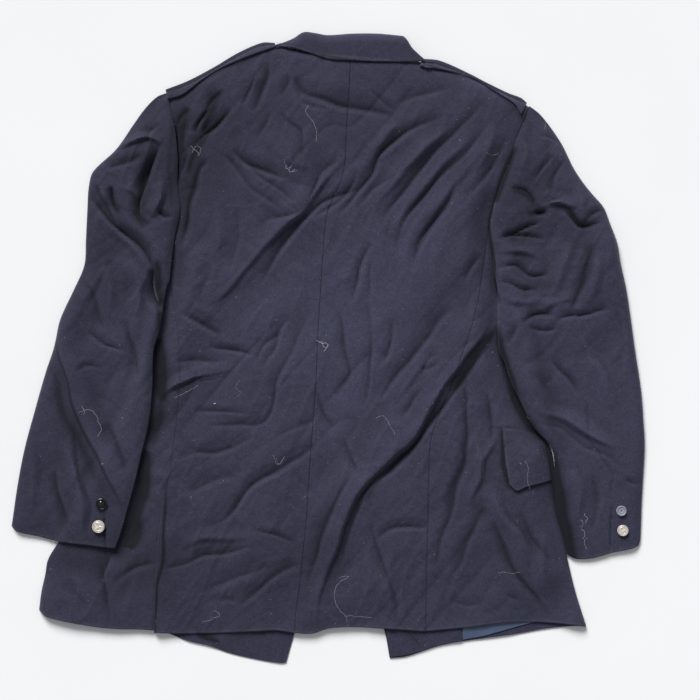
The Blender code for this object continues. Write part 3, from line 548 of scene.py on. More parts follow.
BACK_CREASES = (
    Crease(((30, 262), (10, 238), (-8, 217), (-32, 187), (-57, 161), (-87, 132), (-119, 94),
            (-150, 56)), 9, 18, 5.4),
    even(((44, 214), (1, 196), (-32, 170), (-52, 144), (-72, 117), (-86, 88)), 9, -4.6),
    even(((16, 254), (-9, 232), (-24, 198), (-46, 178), (-86, 172)), 9, -4.2),
    even(((153, 314), (118, 294), (90, 273), (72, 256), (61, 233), (41, 210), (14, 176)), 8, -5.2),
    even(((44, 240), (30, 214), (4, 186), (-22, 172)), 8, -3.0),
    even(((205, 331), (176, 291), (148, 264), (118, 230), (87, 190), (74, 168)), 7, -3.8),
    even(((217, 304), (182, 256), (148, 225), (118, 190), (101, 159), (93, 125)), 6, -3.4),
    even(((234, 250), (211, 228), (182, 198)), 7, -2.8),
    even(((173, 225), (159, 190), (136, 161), (121, 122)), 8, -3.2),
    even(((164, 354), (141, 345), (110, 335), (88, 329)), 9, -2.4),
    even(((163, 294), (132, 267), (98, 233), (64, 192)), 12, 4.0),
    even(((192, 280), (152, 240), (111, 192), (92, 160)), 11, 4.0),
    even(((212, 268), (176, 226), (140, 180), (118, 140)), 10, 2.6),
    even(((96, 300), (70, 268), (56, 240)), 12, 2.4),
    even(((226, 300), (216, 262), (196, 232)), 10, 2.6),
    even(((240, 286), (228, 252), (206, 214)), 7, -2.6),
    even(((86, 230), (62, 214), (40, 186)), 7, -2.2),
    even(((150, 176), (128, 146), (116, 104)), 8, -2.2),
    even(((-195, 47), (-167, 32), (-142, 18)), 8, -3.8),
    even(((-161, 2), (-133, -3), (-99, -11)), 6, -3.4),
    even(((-209, -21), (-175, -17), (-140, -18)), 6, -2.2),
    Crease(((-240, -86), (-215, -60), (-190, -44), (-130, -32)), 10, 9, 5.0),
    even(((-196, -52), (-168, -40), (-132, -34)), 7, -3.4),
    even(((-180, -86), (-136, -88), (-106, -92)), 6, -3.0),
    even(((-161, -105), (-120, -106), (-91, -104), (-76, -84), (-63, -40), (-44, 3), (-30, 41)), 8, -3.0),
    even(((-48, 41), (-63, 22), (-70, -6), (-88, -28)), 8, -2.8),
    even(((-58, 20), (-82, 4), (-96, -22)), 7, -2.2),
    even(((-205, -150), (-175, -140), (-145, -141), (-101, -122)), 9, -2.4),
    even(((-16, -130), (-63, -163), (-101, -188), (-124, -217), (-156, -242)), 9, -4.4),
    even(((-98, -246), (-74, -252), (-48, -262)), 6, -2.8),
    even(((-196, -271), (-159, -257), (-100, -255)), 9, 2.4),
    even(((-225, -299), (-190, -292), (-159, -279), (-96, -268)), 7, -2.8),
    even(((-36, -290), (-71, -310), (-118, -348)), 9, -3.2),
    even(((-149, -344), (-134, -341), (-118, -345)), 7, -1.6),
    even(((60, 142), (44, 105), (36, 62)), 7, -3.4),
    even(((62, 117), (58, 90), (56, 60)), 6, -2.2),
    even(((14, 50), (22, 20), (22, -9), (28, -36), (12, -66)), 8, -3.4),
    even(((56, 57), (57, 20), (55, -30), (53, -78)), 7, -2.4),
    even(((91, 38), (84, 10), (74, -22)), 7, -2.6),
    even(((166, 202), (150, 180), (136, 158), (120, 118)), 8, -2.6),
    even(((207, 126), (196, 110), (184, 86)), 7, -3.0),
    even(((171, 53), (150, 34), (132, 10), (101, -28), (66, -72)), 10, -3.6),
    even(((142, -10), (120, -30), (98, -62)), 9, 2.4),
    even(((128, -53), (118, -64), (110, -78), (98, -94)), 6, -2.6),
    even(((152, -18), (140, -26), (122, -26)), 5, -2.2),
    even(((150, -6), (136, -16), (126, -36)), 5, -2.0),
    Crease(((232, 52), (202, 10), (169, -34), (141, -78), (117, -119), (82, -157), (44, -195), (22, -233),
            (9, -273), (-12, -330), (-18, -376)), 7, 27, 6.2),
    even(((228, 12), (192, -28), (167, -68), (141, -101), (122, -125), (91, -163), (51, -198), (32, -242),
          (12, -300)), 8, -3.8),
    even(((34, -166), (12, -208), (-6, -248), (-28, -318)), 9, -3.4),
    even(((20, -122), (34, -150), (44, -170)), 8, -2.4),
    even(((100, -262), (84, -300), (86, -352)), 13, 2.2),
    even(((60, -240), (74, -288), (92, -340), (94, -372)), 8, -2.8),
    even(((68, -262), (84, -248), (104, -242), (134, -240)), 7, -2.6),
    even(((-14, -58), (-4, -84), (10, -108)), 7, -2.4),
    even(((-150, 120), (-166, 84), (-170, 50)), 12, -1.6),
    even(((-72, -120), (-40, -104), (-16, -96)), 8, -1.8),
    even(((-188, -196), (-150, -180), (-118, -176)), 10, -1.8),
    even(((-170, -330), (-120, -310), (-70, -296)), 12, -1.8),
)
SIDE_CREASES = (
    even(((183, -44), (187, -87), (188, -145), (173, -184), (164, -230), (144, -300)), 9, -5.0),
    even(((199, -116), (207, -165), (190, -214)), 9, 4.2),
    even(((229, -113), (209, -152), (203, -173)), 8, 3.4),
    even(((222, -185), (232, -217), (254, -249), (270, -293)), 12, 4.6),
    even(((225, -230), (241, -272), (257, -304), (280, -330), (302, -368)), 8, -3.8),
    even(((215, -215), (196, -249), (173, -298), (162, -326)), 8, -3.4),
    even(((164, -341), (186, -346), (206, -341)), 7, -1.6),
    even(((238, -330), (248, -338), (257, -342)), 6, -1.6),
    even(((214, -60), (222, -96), (218, -128)), 8, -2.6),
    even(((290, -250), (288, -290), (298, -330)), 12, 2.4),
    even(((262, -220), (276, -258), (300, -290)), 8, -2.4),
    even(((-307, -279), (-300, -323), (-294, -373)), 8, -2.6),
    even(((-288, -319), (-263, -300), (-232, -291)), 8, -2.6),
    even(((-240, -110), (-262, -150), (-270, -190)), 10, -2.6),
    even(((-232, -210), (-262, -250), (-276, -290)), 10, 2.6),
    even(((-250, -230), (-268, -262), (-300, -276)), 8, -2.8),
    even(((224, -110), (244, -110), (284, -112)), 2.0, -1.4),
    even(((-350, -300), (-340, -330), (-322, -352)), 12, -1.6),
    even(((-368, -318), (-346, -312), (-330, -320)), 9, 1.4),
)
SLEEVE_LEFT_CREASES = (
    even(((-281, 266), (-262, 274), (-241, 281), (-222, 273)), 6, 3.4),
    even(((-300, 240), (-270, 246), (-250, 256)), 10, -2.2),
    even(((-226, 272), (-232, 252), (-246, 219), (-252, 194), (-246, 172), (-238, 164)), 9, -6.4),
    even(((-232, 262), (-240, 286), (-224, 300)), 8, -2.0),
    even(((-224, 222), (-222, 200), (-232, 176)), 13, 5.0),
    even(((-226, 184), (-216, 176), (-204, 178)), 6, -3.2),
    even(((-290, 214), (-286, 196), (-279, 180)), 8, -4.4),
    even(((-311, 219), (-302, 200), (-291, 182), (-281, 162)), 7, -2.6),
    even(((-270, 214), (-258, 204), (-252, 190)), 9, 2.6),
    even(((-318, 204), (-291, 169), (-261, 144), (-241, 117), (-233, 88)), 8, -5.0),
    Crease(((-312, 186), (-284, 158), (-256, 132), (-240, 100)), 8, 16, 3.2),
    even(((-237, 106), (-232, 71), (-221, 52)), 7, -5.6),
    even(((-262, 120), (-252, 86), (-256, 44)), 12, 2.6),
    even(((-306, 120), (-290, 84), (-292, 40)), 13, 1.8),
    even(((-330, 94), (-312, 68), (-300, 24)), 9, -1.8),
    even(((-268, 40), (-262, 2), (-252, -40)), 9, -2.2),
    even(((-322, 20), (-300, 2), (-270, -4)), 7, -2.0),
    even(((-338, -36), (-320, -26), (-300, -30)), 6, -1.8),
    Crease(((-366, 30), (-360, 2), (-354, -24), (-345, -60), (-334, -92), (-317, -125), (-300, -165),
            (-275, -214)), 44, 8, 4.2),
    even(((-380, 14), (-372, -24), (-360, -66), (-348, -102), (-332, -136), (-314, -176)), 14, -1.6),
    even(((-370, -168), (-360, -205), (-348, -250)), 8, -2.8),
    even(((-299, -222), (-298, -246), (-297, -275)), 2.2, -2.4),
    even(((-337, -104), (-337, -150), (-334, -180), (-322, -212)), 3.0, -1.6),
    even(((-346, -118), (-346, -150), (-334, -196), (-328, -250)), 9, 2.0),
    even(((-400, -120), (-396, -170), (-402, -220)), 12, 1.6),
    even(((-330, -186), (-320, -214), (-322, -250)), 6, -1.8),
    even(((-296, -100), (-282, -134), (-268, -168)), 10, -2.0),
)
SLEEVE_RIGHT_CREASES = (
    even(((286, 284), (298, 281), (312, 275)), 5, -1.9),
    even(((300, 258), (292, 244), (278, 226)), 6, -2.7),
    even(((260, 280), (268, 262), (262, 240)), 12, 2.4),
    even(((322, 254), (308, 232), (300, 206)), 10, -2.2),
    even(((245, 215), (263, 211), (278, 194)), 5, -3.5),
    even(((291, 192), (304, 198), (318, 203)), 6, -2.6),
    even(((286, 190), (310, 196), (336, 190)), 9, 4.4),
    even(((276, 184), (285, 181), (295, 184)), 6, -4.6),
    even(((319, 186), (330, 172), (341, 164), (369, 170)), 6, -4.3),
    even(((349, 174), (360, 182), (374, 185)), 6, -2.8),
    even(((350, 206), (344, 190), (350, 176)), 9, 2.4),
    even(((238, 148), (262, 158), (288, 170)), 5, -3.2),
    even(((226, 144), (244, 150), (263, 149), (293, 145)), 5, -3.4),
    even(((232, 128), (258, 130), (288, 122)), 9, 3.0),
    even(((224, 102), (240, 108), (254, 109), (273, 95), (300, 101)), 5, -3.4),
    even(((233, 88), (248, 84), (263, 75), (285, 74)), 5, -2.9),
    even(((240, 62), (262, 60), (290, 62)), 9, 2.4),
    even(((355, 140), (349, 111), (344, 88), (330, 52)), 9, -6.2),
    even(((366, 130), (362, 96), (350, 60)), 12, 3.4),
    even(((326, 140), (318, 104), (306, 70)), 13, 2.8),
    even(((307, 38), (326, 42), (344, 43), (377, 53)), 7, -3.6),
    even(((258, 33), (277, 45), (305, 45)), 7, -3.6),
    even(((266, 26), (286, 24), (311, 26)), 6, -3.0),
    even(((255, 30), (250, 16), (244, 0)), 7, -3.0),
    even(((248, 34), (300, 58), (340, 68)), 10, 2.0),
    even(((301, -20), (314, -36), (329, -45), (340, -63)), 7, -3.2),
    even(((268, -30), (290, -54), (306, -84)), 10, -1.8),
    even(((275, -96), (296, -104), (313, -110), (345, -136), (377, -149), (402, -166)), 6, -1.7),
    even(((282, -86), (318, -98), (352, -120), (392, -138)), 10, 3.8),
    even(((398, -177), (408, -182), (418, -184)), 6, -2.2),
    even(((345, -64), (350, -100), (354, -128), (383, -170), (380, -190), (381, -212)), 3.0, -1.4),
    even(((381, -206), (383, -240), (384, -282)), 2.2, -1.8),
    even(((352, -10), (372, -40), (378, -84)), 12, 2.2),
    even(((330, -160), (340, -200), (336, -244)), 12, 1.8),
    even(((356, -170), (364, -210), (358, -250)), 9, -1.8),
    even(((390, 60), (398, 10), (396, -40)), 9, -1.8),
)

# Small wrinkles all over: runs of ridged noise, each at its own angle
Wrinkle = namedtuple("Wrinkle", "turn along across height")
WRINKLES = (
    Wrinkle(50, 95, 30, 1.6),
    Wrinkle(66, 70, 22, 1.1),
    Wrinkle(-38, 64, 24, 0.7),
    Wrinkle(5, 50, 19, 0.5),
    Wrinkle(35, 40, 14, 0.5),
    Wrinkle(58, 74, 13, 0.65),
    Wrinkle(44, 58, 11, 0.5),
    Wrinkle(-30, 46, 12, 0.35),
)
# Broad soft swells of cloth that is nowhere quite flat
SWELLS = (Wrinkle(58, 150, 62, 3.4), Wrinkle(40, 80, 36, 1.5), Wrinkle(62, 38, 19, 0.5))

# Broad patches of painted light and shade, paler where more light falls and darker where shade pools: middle,
# half sizes, turn and tone
Patch = namedtuple("Patch", "x y along across turn tone")
LIGHT_AND_SHADE_PATCHES = (
    Patch(50, 30, 190, 120, 66, 0.34),
    Patch(-100, 0, 200, 70, 84, 0.12),
    Patch(100, -240, 70, 45, 0, 0.16),
    Patch(170, 190, 110, 60, 50, 0.04),
    Patch(268, 190, 90, 38, 90, -0.3),
    Patch(-345, 100, 110, 26, 88, -0.2),
    Patch(-400, -150, 70, 26, 86, -0.14),
    Patch(-275, -20, 130, 26, 86, 0.16),
    Patch(262, 52, 26, 22, 0, 0.2),
    Patch(345, 150, 34, 20, 60, -0.2),
    Patch(-200, 260, 110, 75, 80, -0.3),
    Patch(-300, 110, 110, 45, 84, -0.2),
    Patch(230, -300, 110, 80, 0, -0.08),
    Patch(-290, -280, 130, 56, 0, -0.3),
    Patch(-15, -265, 60, 32, 60, -0.22),
    Patch(345, -60, 170, 60, 90, 0.2),
    Patch(-247, 205, 50, 10, 80, -0.35),
    Patch(-226, -98, 24, 9, 40, -0.45),
)
# Painted shadows: dark lines and pockets painted where cloth turns under and shade falls: the width on each
# side, tone, and where they lie
Shadow = namedtuple("Shadow", "path left right tone on")
SHADOWS = (
    Shadow(((228, 24), (205, 3), (190, -17), (177, -41), (162, -62)), 8, 5, -1.3, "body"),
    Shadow(((179, -44), (132, -110), (63, -191), (18, -248)), 3.2, 1.4, -0.6, "body"),
    Shadow(((30, -236), (2, -290), (-16, -350)), 22, 3, -0.2, "body"),
    Shadow(((-365, 12), (-356, -24), (-333.5, -96.5), (-307, -149), (-279, -210)), 1.6, 3.5, -0.9, "sleeve"),
    Shadow(((-365, 12), (-360, -24), (-340, -96.5), (-314, -149), (-286, -210)), 3, 15, -0.35, "sleeve"),
    Shadow(((254, 272), (238, 230), (225, 194)), 4.5, 4.5, -1.2, "both"),
    Shadow(((223, 198), (220.5, 163), (225, 117), (231, 56)), 1.2, 3.2, -1.1, "both"),
    Shadow(((246, 214), (262, 208), (278, 195)), 4, 3, -0.8, "sleeve"),
    Shadow(((268, 181), (282, 183), (296, 182)), 4, 4, -0.8, "sleeve"),
    Shadow(((302, 189), (326, 187), (337, 173), (348, 162)), 3, 4.5, -0.8, "sleeve"),
    Shadow(((358, 138), (351, 100), (337, 72)), 3, 5, -0.5, "sleeve"),
    Shadow(((-230, 14), (-226, -24), (-220, -78)), 9, 10, -1.4, "body"),
    Shadow(((-217, -60), (-226, -88), (-236, -130)), 6, 9, -0.6, "body"),
    Shadow(((-244, -136), (-249, -180), (-256, -236)), 8, 9, -1.4, "body"),
    Shadow(((-254, -220), (-260, -245), (-268, -275)), 9, 9, -1.3, "body"),
    Shadow(((-231, 120), (-228, 85), (-226, 50)), 6, 6, -1.2, "both"),
    Shadow(((-232, 84), (-226, 40), (-228, 0)), 3, 3.5, -0.5, "sleeve"),
    Shadow(((-205, 306), (-206, 246), (-203, 186)), 15, 3, -0.35, "body"),
    Shadow(((228, 30), (239, -23), (266, -93), (294, -131)), 5.5, 6, -1.4, "both"),
    Shadow(((290, -126), (302, -148), (308, -193), (325, -255), (331, -300)), 9.5, 9, -1.4, "both"),
    Shadow(((224, 176), (222, 140), (226, 60)), 2, 5, -0.5, "body"),
    Shadow(((-217, -190), (-221, -260), (-229, -340), (-232, -390)), 2, 2, -1.2, "both"),
    Shadow(((235.5, -108), (238.5, -145), (244.5, -192)), 1.5, 4.6, -1.3, "body"),
    Shadow(((-186, 324), (-194, 302), (-199, 268), (-201, 236)), 6, 5, -1.1, "body"),
    Shadow(((-140, 350), (-152, 332), (-163, 312), (-168, 292)), 4.5, 3.5, -1, "body"),
    Shadow(((-130, 320), (-150, 298), (-168, 276), (-180, 254), (-186, 232)), 3.5, 4.5, -0.85, "body"),
    Shadow(((-233, 268), (-243, 228), (-252, 196), (-246, 160)), 4.5, 5, -0.8, "sleeve"),
    Shadow(((-293, 216), (-287, 197), (-278, 178)), 4, 5, -0.7, "sleeve"),
    Shadow(((-300, 250), (-270, 252), (-240, 262)), 3, 6, -0.3, "sleeve"),
    Shadow(((244, -187), (254, -192), (267, -187), (300, -179)), 0.6, 3.2, -0.6, "body"),
    Shadow(((-178, -386), (-163, -391), (-146, -397)), 4, 5, -1.1, "body"),
    Shadow(((104, -380), (114, -392), (128, -407)), 1.6, 5, -0.3, "body"),
    Shadow(((-213, 332), (-190, 340), (-172, 355), (-146, 373), (-105, 391), (-70, 403)),
           0.8, 3.2, -0.55, "body"),
    Shadow(((264, 306), (253, 324), (234, 338), (207, 355), (167, 371), (130, 379)), 3.4, 0.8, -0.55, "body"),
    Shadow(((-56, 402), (-34, 396), (0, 389), (42, 386), (128, 383)), 0.8, 3, -0.5, "body"),
    Shadow(((-206, 300), (-212, 262), (-208, 214), (-204, 180)), 2.4, 4, -0.35, "sleeve"),
)

# How much higher than its solid the loose cloth stands, by height up the body and down the sleeve
BODY_LOFT = (
    Rise(400, 0.0), Rise(330, 1.5), Rise(200, 3.0), Rise(-200, 2.5), Rise(-340, 1.0), Rise(-385, 0.0),
)
SLEEVE_LOFT = (Puff(0.0, 0.5), Puff(0.12, 3.5), Puff(0.5, 4.0), Puff(0.8, 1.5), Puff(1.0, 0.3))

# Sewn seams: how deep the join sinks, and the ridge where its allowance ends inside
Seam = namedtuple("Seam", "path depth allowance")
SEAMS = (
    Seam(CENTRE_SEAM, 0.35, 0.15),
    Seam(SIDE_SEAM_LEFT, 0.35, 0.15),
    Seam(SIDE_SEAM_RIGHT, 0.35, 0.2),
    Seam(ARMHOLE_LEFT, 0.7, 0.5),
    Seam(ARMHOLE_RIGHT, 0.7, 0.5),
)
LATTICE = np.random.default_rng(11).random((61, 61))


def noise(x, y, along, across, turn=0.0, layer=0):
    """Soft noise from -1 to 1: random values on a turned lattice, along by across mm, joined smoothly."""
    a, b = turned_axes(x, y, turn)
    a = a / along + 17.3 * layer + 200.0
    b = b / across + 9.7 * layer + 200.0
    i, j = np.floor(a).astype(int), np.floor(b).astype(int)
    p, q = smooth(a - i), smooth(b - j)
    size = len(LATTICE)
    near = LATTICE[i % size, j % size] * (1 - p) + LATTICE[(i + 1) % size, j % size] * p
    far = LATTICE[i % size, (j + 1) % size] * (1 - p) + LATTICE[(i + 1) % size, (j + 1) % size] * p
    return 2.0 * (near * (1 - q) + far * q) - 1.0


def wandered(x, y):
    """Places moved a little by noise, so that the listed lines waver."""
    x = x + WANDER * noise(x, y, WANDER_SIZE, WANDER_SIZE, 20.0, 31)
    return x, y + WANDER * noise(x, y, WANDER_SIZE, WANDER_SIZE, 70.0, 47)


def creased(x, y, creases):
    """Height of the listed creases: h sin(pi s)^0.7 times a sharp core plus a soft bell, exp(-(d/w)^2),
    less a low shoulder on each side. It leans towards the collar and is uneven along its length."""
    z = np.zeros_like(x)
    x, y = wandered(x, y)
    for number, crease in enumerate(creases):
        near = within(crease.path, CREASE_REACH * max(crease.left, crease.right), x, y)
        if not near.any():
            continue
        away, share = beside(crease.path, PATH_SAMPLES, x[near], y[near])
        length = share * path_length(crease.path)
        uneven = noise(length, away, UNEVEN_LENGTH, 4 * UNEVEN_LENGTH, 0.0, number)
        run = np.subtract(crease.path[-1], crease.path[0])
        to_light = np.sign(LIGHT_SIDE[1] * run[0] - LIGHT_SIDE[0] * run[1])
        lean = 1.0 + to_light * np.where(away > 0, LEAN, -LEAN)
        half = np.where(away > 0, crease.left, crease.right)
        q = np.abs(away) / (CREASE_WIDTH * half * lean * (1.0 + UNEVEN_WIDTH * uneven))
        form = (1 - CORE_SHARE) * bell(q, 1.0) + CORE_SHARE * np.exp(-((q / CORE_WIDTH) ** CORE_POWER))
        form = form - SHOULDER_SHARE * bell(q - SHOULDER_AT, SHOULDER_WIDTH)
        ends = np.sin(np.pi * share) ** CREASE_TAPER
        z[near] += CREASE_HEIGHT * crease.height * (1.0 + UNEVEN * uneven) * ends * form
    return z


def wrinkled(x, y, layer=0):
    """Height of the small wrinkles: ridged noise, 1 - |n|, in patches, on broad swells of plain noise."""
    z = np.zeros_like(x)
    for number, row in enumerate(SWELLS):
        z += row.height * noise(x, y, row.along, row.across, row.turn, layer + 40 + number)
    for number, row in enumerate(WRINKLES):
        n = noise(x, y, row.along, row.across, row.turn, layer + number)
        patches = smooth(PATCH_MEAN + PATCH_CONTRAST * noise(x, y, *WRINKLE_PATCH, layer + 20 + number))
        sign = 1.0 if number % 2 else -1.0
        z += sign * row.height * patches * ((1.0 - np.abs(n)) ** WRINKLE_SHARP - WRINKLE_MEAN)
    return z


def sewn(x, y):
    """Height change at the seams: a narrow groove, the allowance's ridge beside it, and puckers."""
    z = np.zeros_like(x)
    for number, seam in enumerate(SEAMS):
        away, share = beside(seam.path, EDGE_SAMPLES, x, y)
        d = np.abs(away)
        length = share * path_length(seam.path)
        inside = np.sin(np.pi * np.clip(share, 0.004, 0.996)) ** 0.1
        groove = -seam.depth * bell(d, SEAM_HALF_WIDTH)
        ridge = seam.allowance * bell(d - ALLOWANCE_AT, ALLOWANCE_WIDTH)
        wave = noise(length, 0.0 * length, PUCKER_LENGTH, PUCKER_LENGTH, 0.0, 60 + number)
        pucker = PUCKER_HEIGHT * wave * bell(d, PUCKER_REACH)
        z += inside * (groove + ridge + pucker)
    return z


def armhole_share(armhole, inner):
    """The share of a sleeve's inner edge that is sewn into the armhole."""
    sewn, free = (
        np.linalg.norm(np.diff(np.array(line, float), axis=0), axis=1).sum()
        for line in (armhole, inner)
    )
    return sewn / (sewn + free)


def covered(x, y, armhole, inner, body_side):
    """How far the body lies beside a sleeve's inner edge, and how free of the seam the sleeve is there."""
    away, share = beside(armhole + inner[1:], EDGE_SAMPLES, x, y)
    seam_end = armhole_share(armhole, inner)
    return away * body_side, smooth((share - seam_end + FREE_BEFORE) / FREE_RUN)


def held_above(floor, z):
    """Heights kept above a floor by a soft maximum: f + k ln(1 + exp((z - f) / k))."""
    return floor + np.logaddexp(0.0, (z - floor) / SOFT_FLOOR) * SOFT_FLOOR


def body_height(x, y):
    """The back's height: rise, creases and wrinkles, then armholes, sleeves, outline and seams."""
    left = x < CENTRE_SEAM[0][0]
    outline = np.where(left, -off(OUTLINE_LEFT, x, y), -off(OUTLINE_RIGHT, x, y))
    relief = creased(x, y, YOKE_CREASES + BACK_CREASES + SIDE_CREASES) + wrinkled(x, y)
    rise = table_at(BODY_RISE, y) + table_at(BODY_LOFT, y) + relief
    for armhole, inner, side in (
        (ARMHOLE_LEFT, SLEEVE_IN_LEFT, 1.0),
        (ARMHOLE_RIGHT, SLEEVE_IN_RIGHT, -1.0),
    ):
        away, free = covered(x, y, armhole, inner, side)
        seam = bell(np.maximum(away, 0.0), ARMHOLE_BLEND) * (1.0 - free)
        rise = rise + (ARMHOLE_HEIGHT + ARMHOLE_RELIEF * relief - rise) * seam
        under = free * (1.0 - smooth((away - COVER_START) / COVER_RISE))
        under = under * smooth((y - COVER_END_Y) / COVER_END_RUN)
        rise = rise + (COVERED_HEIGHT - rise) * under
    rise = held_above(COVERED_HEIGHT, rise)
    z = EDGE_HEIGHT + (rise - EDGE_HEIGHT) * roll(outline / EDGE_ROLL)
    return z + sewn(x, y)


def side_height(x, y, v):
    """The side panels' height: the back's, lower at the body's side fold and under the vent."""
    z = body_height(x, y)
    inside = np.where(x < 0, off(BODY_EDGE_LEFT, x, y), -off(BODY_EDGE_RIGHT, x, y))
    z = EDGE_HEIGHT + (z - EDGE_HEIGHT) * roll(inside / EDGE_ROLL)
    from_seam = np.abs(off(SIDE_SEAM_LEFT, x, y))
    step = smooth((VENT_STEP_START_Y - y) / VENT_STEP_RUN)
    step = step * (1.0 - smooth((from_seam - VENT_LEVEL) / VENT_REACH))
    return np.where(x < 0, np.maximum(z - VENT_STEP * step, EDGE_HEIGHT), z)


def vent_back_height(x, y, v):
    """The back's height, held clear of the side panel that runs on under it at the vent."""
    z = body_height(x, y)
    from_seam = np.abs(off(SIDE_SEAM_LEFT, x, y))
    near = smooth((VENT_STEP_START_Y - y) / VENT_CLEAR_RUN)
    near = near * (1.0 - smooth((from_seam - VENT_CLEAR_LEVEL) / VENT_CLEAR_RUN))
    return np.maximum(z, (side_height(x, y, v) + VENT_CLEARANCE) * near)


def under_sleeve_height(x, y, v, seam_end, body_edge, body_side):
    """The under sleeve lies on the table, and steps up onto the body below the armhole."""
    away = off(body_edge, x, y)
    below = smooth((v - seam_end + BELOW_BEFORE) / BELOW_RUN)
    onto = smooth((away * body_side + UNDER_STEP * UNDER_STEP_BEFORE) / UNDER_STEP) * below
    if body_side < 0:
        onto = onto * (1.0 - smooth((SLEEVE_OFF_BODY_Y - y) / SLEEVE_OFF_BODY_RUN))
    return ON_TABLE + (UNDER_SLEEVE_HEIGHT - ON_TABLE) * onto


def top_sleeve_height(x, y, v, sleeve):
    """The top sleeve: from the outer fold up to the seam, puffed between its edges, with its creases."""
    far_out = np.abs(off(sleeve.out, x, y))
    far_in = np.abs(off(sleeve.armhole + sleeve.inner[1:], x, y))
    across = smooth(far_out / np.maximum(far_out + far_in, 1e-6))
    below = smooth((v - sleeve.share) / HEAD_RUN)
    under = under_sleeve_height(x, y, v, sleeve.share, sleeve.body_edge, sleeve.body_side)
    inner_edge = (under + LAYER) * below + ARMHOLE_HEIGHT * (1.0 - below)
    z = EDGE_HEIGHT + (inner_edge - EDGE_HEIGHT) * across * roll(far_out / EDGE_ROLL)
    from_seam = (far_in + SEAM_ROLL_START) / (SLEEVE_ROLL_IN + HEAD_ROLL * (1.0 - below))
    between = roll(far_out / SLEEVE_ROLL_OUT) * roll(from_seam)
    calm = 1.0 - CUFF_CALM * smooth((v - CALM_FROM) / CALM_RUN)
    relief = creased(x, y, sleeve.creases) + calm * wrinkled(x, y, sleeve.layer)
    puff = table_at(SLEEVE_PUFF, v) + table_at(SLEEVE_LOFT, v)
    z = z + (puff + sleeve.relief * relief) * between + sewn(x, y) * (1.0 - below)
    return held_above(under + LAYER, z)


Sleeve = namedtuple("Sleeve", "side out armhole inner cuff creases body_edge share body_side layer relief")
SLEEVES = (
    Sleeve("left", SLEEVE_OUT_LEFT, ARMHOLE_LEFT, SLEEVE_IN_LEFT, CUFF_LEFT, SLEEVE_LEFT_CREASES,
           BODY_EDGE_LEFT, LEFT_SLEEVE_SHARE, 1.0, 100, 1.6),
    Sleeve("right", SLEEVE_OUT_RIGHT, ARMHOLE_RIGHT, SLEEVE_IN_RIGHT, CUFF_RIGHT, SLEEVE_RIGHT_CREASES,
           BODY_EDGE_RIGHT, RIGHT_SLEEVE_SHARE, -1.0, 200, 1.25),
)


def shares(length, step):
    """Shares of a side: step apart in its middle and closer together near both ends."""
    close = np.array(NEAR_EDGE) / length
    middle = np.linspace(close[-1], 1.0 - close[-1], max(int(length / step), 3))
    return np.concatenate([close[:-1], middle, 1.0 - close[-2::-1]])


def panel_grid(place, height, width, length, step):
    """The middle of a panel's wall, (x, y) = place(u, v) and z = height(x, y, v), and its weave's places."""
    u, v = np.meshgrid(shares(width, step), shares(length, step))
    xy = place(u.ravel(), v.ravel())
    z = height(xy[:, 0], xy[:, 1], v.ravel())
    grid = np.column_stack([xy, z]).reshape(*u.shape, 3)
    return grid, np.stack([u * width, v * length], axis=2)


def side_first(grid, side):
    """A view of the grid whose first row is that side, going inwards."""
    if side == "bottom":
        return grid[::-1]
    if side == "left":
        return grid.transpose(1, 0, 2)
    if side == "right":
        return grid[:, ::-1].transpose(1, 0, 2)
    return grid


def side_back(grid, side):
    """Undoes side_first, which undoes itself on every side but the right."""
    return grid.transpose(1, 0, 2)[:, ::-1] if side == "right" else side_first(grid, side)


def lipped(grid, weave, side, radius, turn):
    """Carries a side on round an arc: out r sin(a) and down r (1 - cos(a)) where it starts level,
    or in r (1 - cos(a)) and down r sin(a) where it starts upright, as a folded edge does."""
    rows, places = side_first(grid, side), side_first(weave, side)
    edge_row, inner_row = rows[0], rows[1]
    out = unit((edge_row - inner_row)[:, :2])
    radius = np.broadcast_to(np.asarray(radius, float), (len(edge_row),))
    arcs, marks = [], []
    for a in np.linspace(0.0, turn[1], turn[2] + 1)[1:]:
        if turn[0] == "level":
            away, down = radius * np.sin(a), radius * (1.0 - np.cos(a))
        else:
            away, down = -radius * (1.0 - np.cos(a)), radius * np.sin(a)
        arcs.append(np.column_stack([edge_row[:, :2] + out * away[:, None], edge_row[:, 2] - down]))
        step = unit(places[0] - places[1])
        marks.append(places[0] + step * (radius * a)[:, None])
    rows = np.concatenate([np.array(arcs[::-1]), rows])
    places = np.concatenate([np.array(marks[::-1]), places])
    return side_back(rows, side), side_back(places, side)


def grid_normals(grid, flat_sides):
    """Each point's normal: the mean of the faces round it, and straight up at the sewn sides."""
    across = grid[1:, 1:] - grid[:-1, :-1]
    along = grid[1:, :-1] - grid[:-1, 1:]
    face = unit(np.cross(along, across))
    total = np.zeros_like(grid)
    for i in (0, 1):
        for j in (0, 1):
            total[i : grid.shape[0] - 1 + i, j : grid.shape[1] - 1 + j] += face
    total = unit(total)
    for side in flat_sides:
        side_first(total, side)[0] = (0.0, 0.0, 1.0)
    return total


def ring_of(rows, columns):
    """The grid's outline, counter-clockwise seen from above, from its top left corner."""
    index = np.arange(rows * columns).reshape(rows, columns)
    return np.concatenate([index[:-1, 0], index[-1, :-1], index[:0:-1, -1], index[0, :0:-1]])


def blurred(z, cells):
    """A grid of numbers, each the mean of those up to so many cells away."""
    for axis in (0, 1):
        ends = [(0, 0), (0, 0)]
        ends[axis] = (cells + 1, cells)
        total = np.cumsum(np.pad(z, ends, mode="edge"), axis=axis)
        later = np.take(total, np.arange(2 * cells + 1, total.shape[axis]), axis)
        earlier = np.take(total, np.arange(total.shape[axis] - 2 * cells - 1), axis)
        z = (later - earlier) / (2 * cells + 1)
    return z


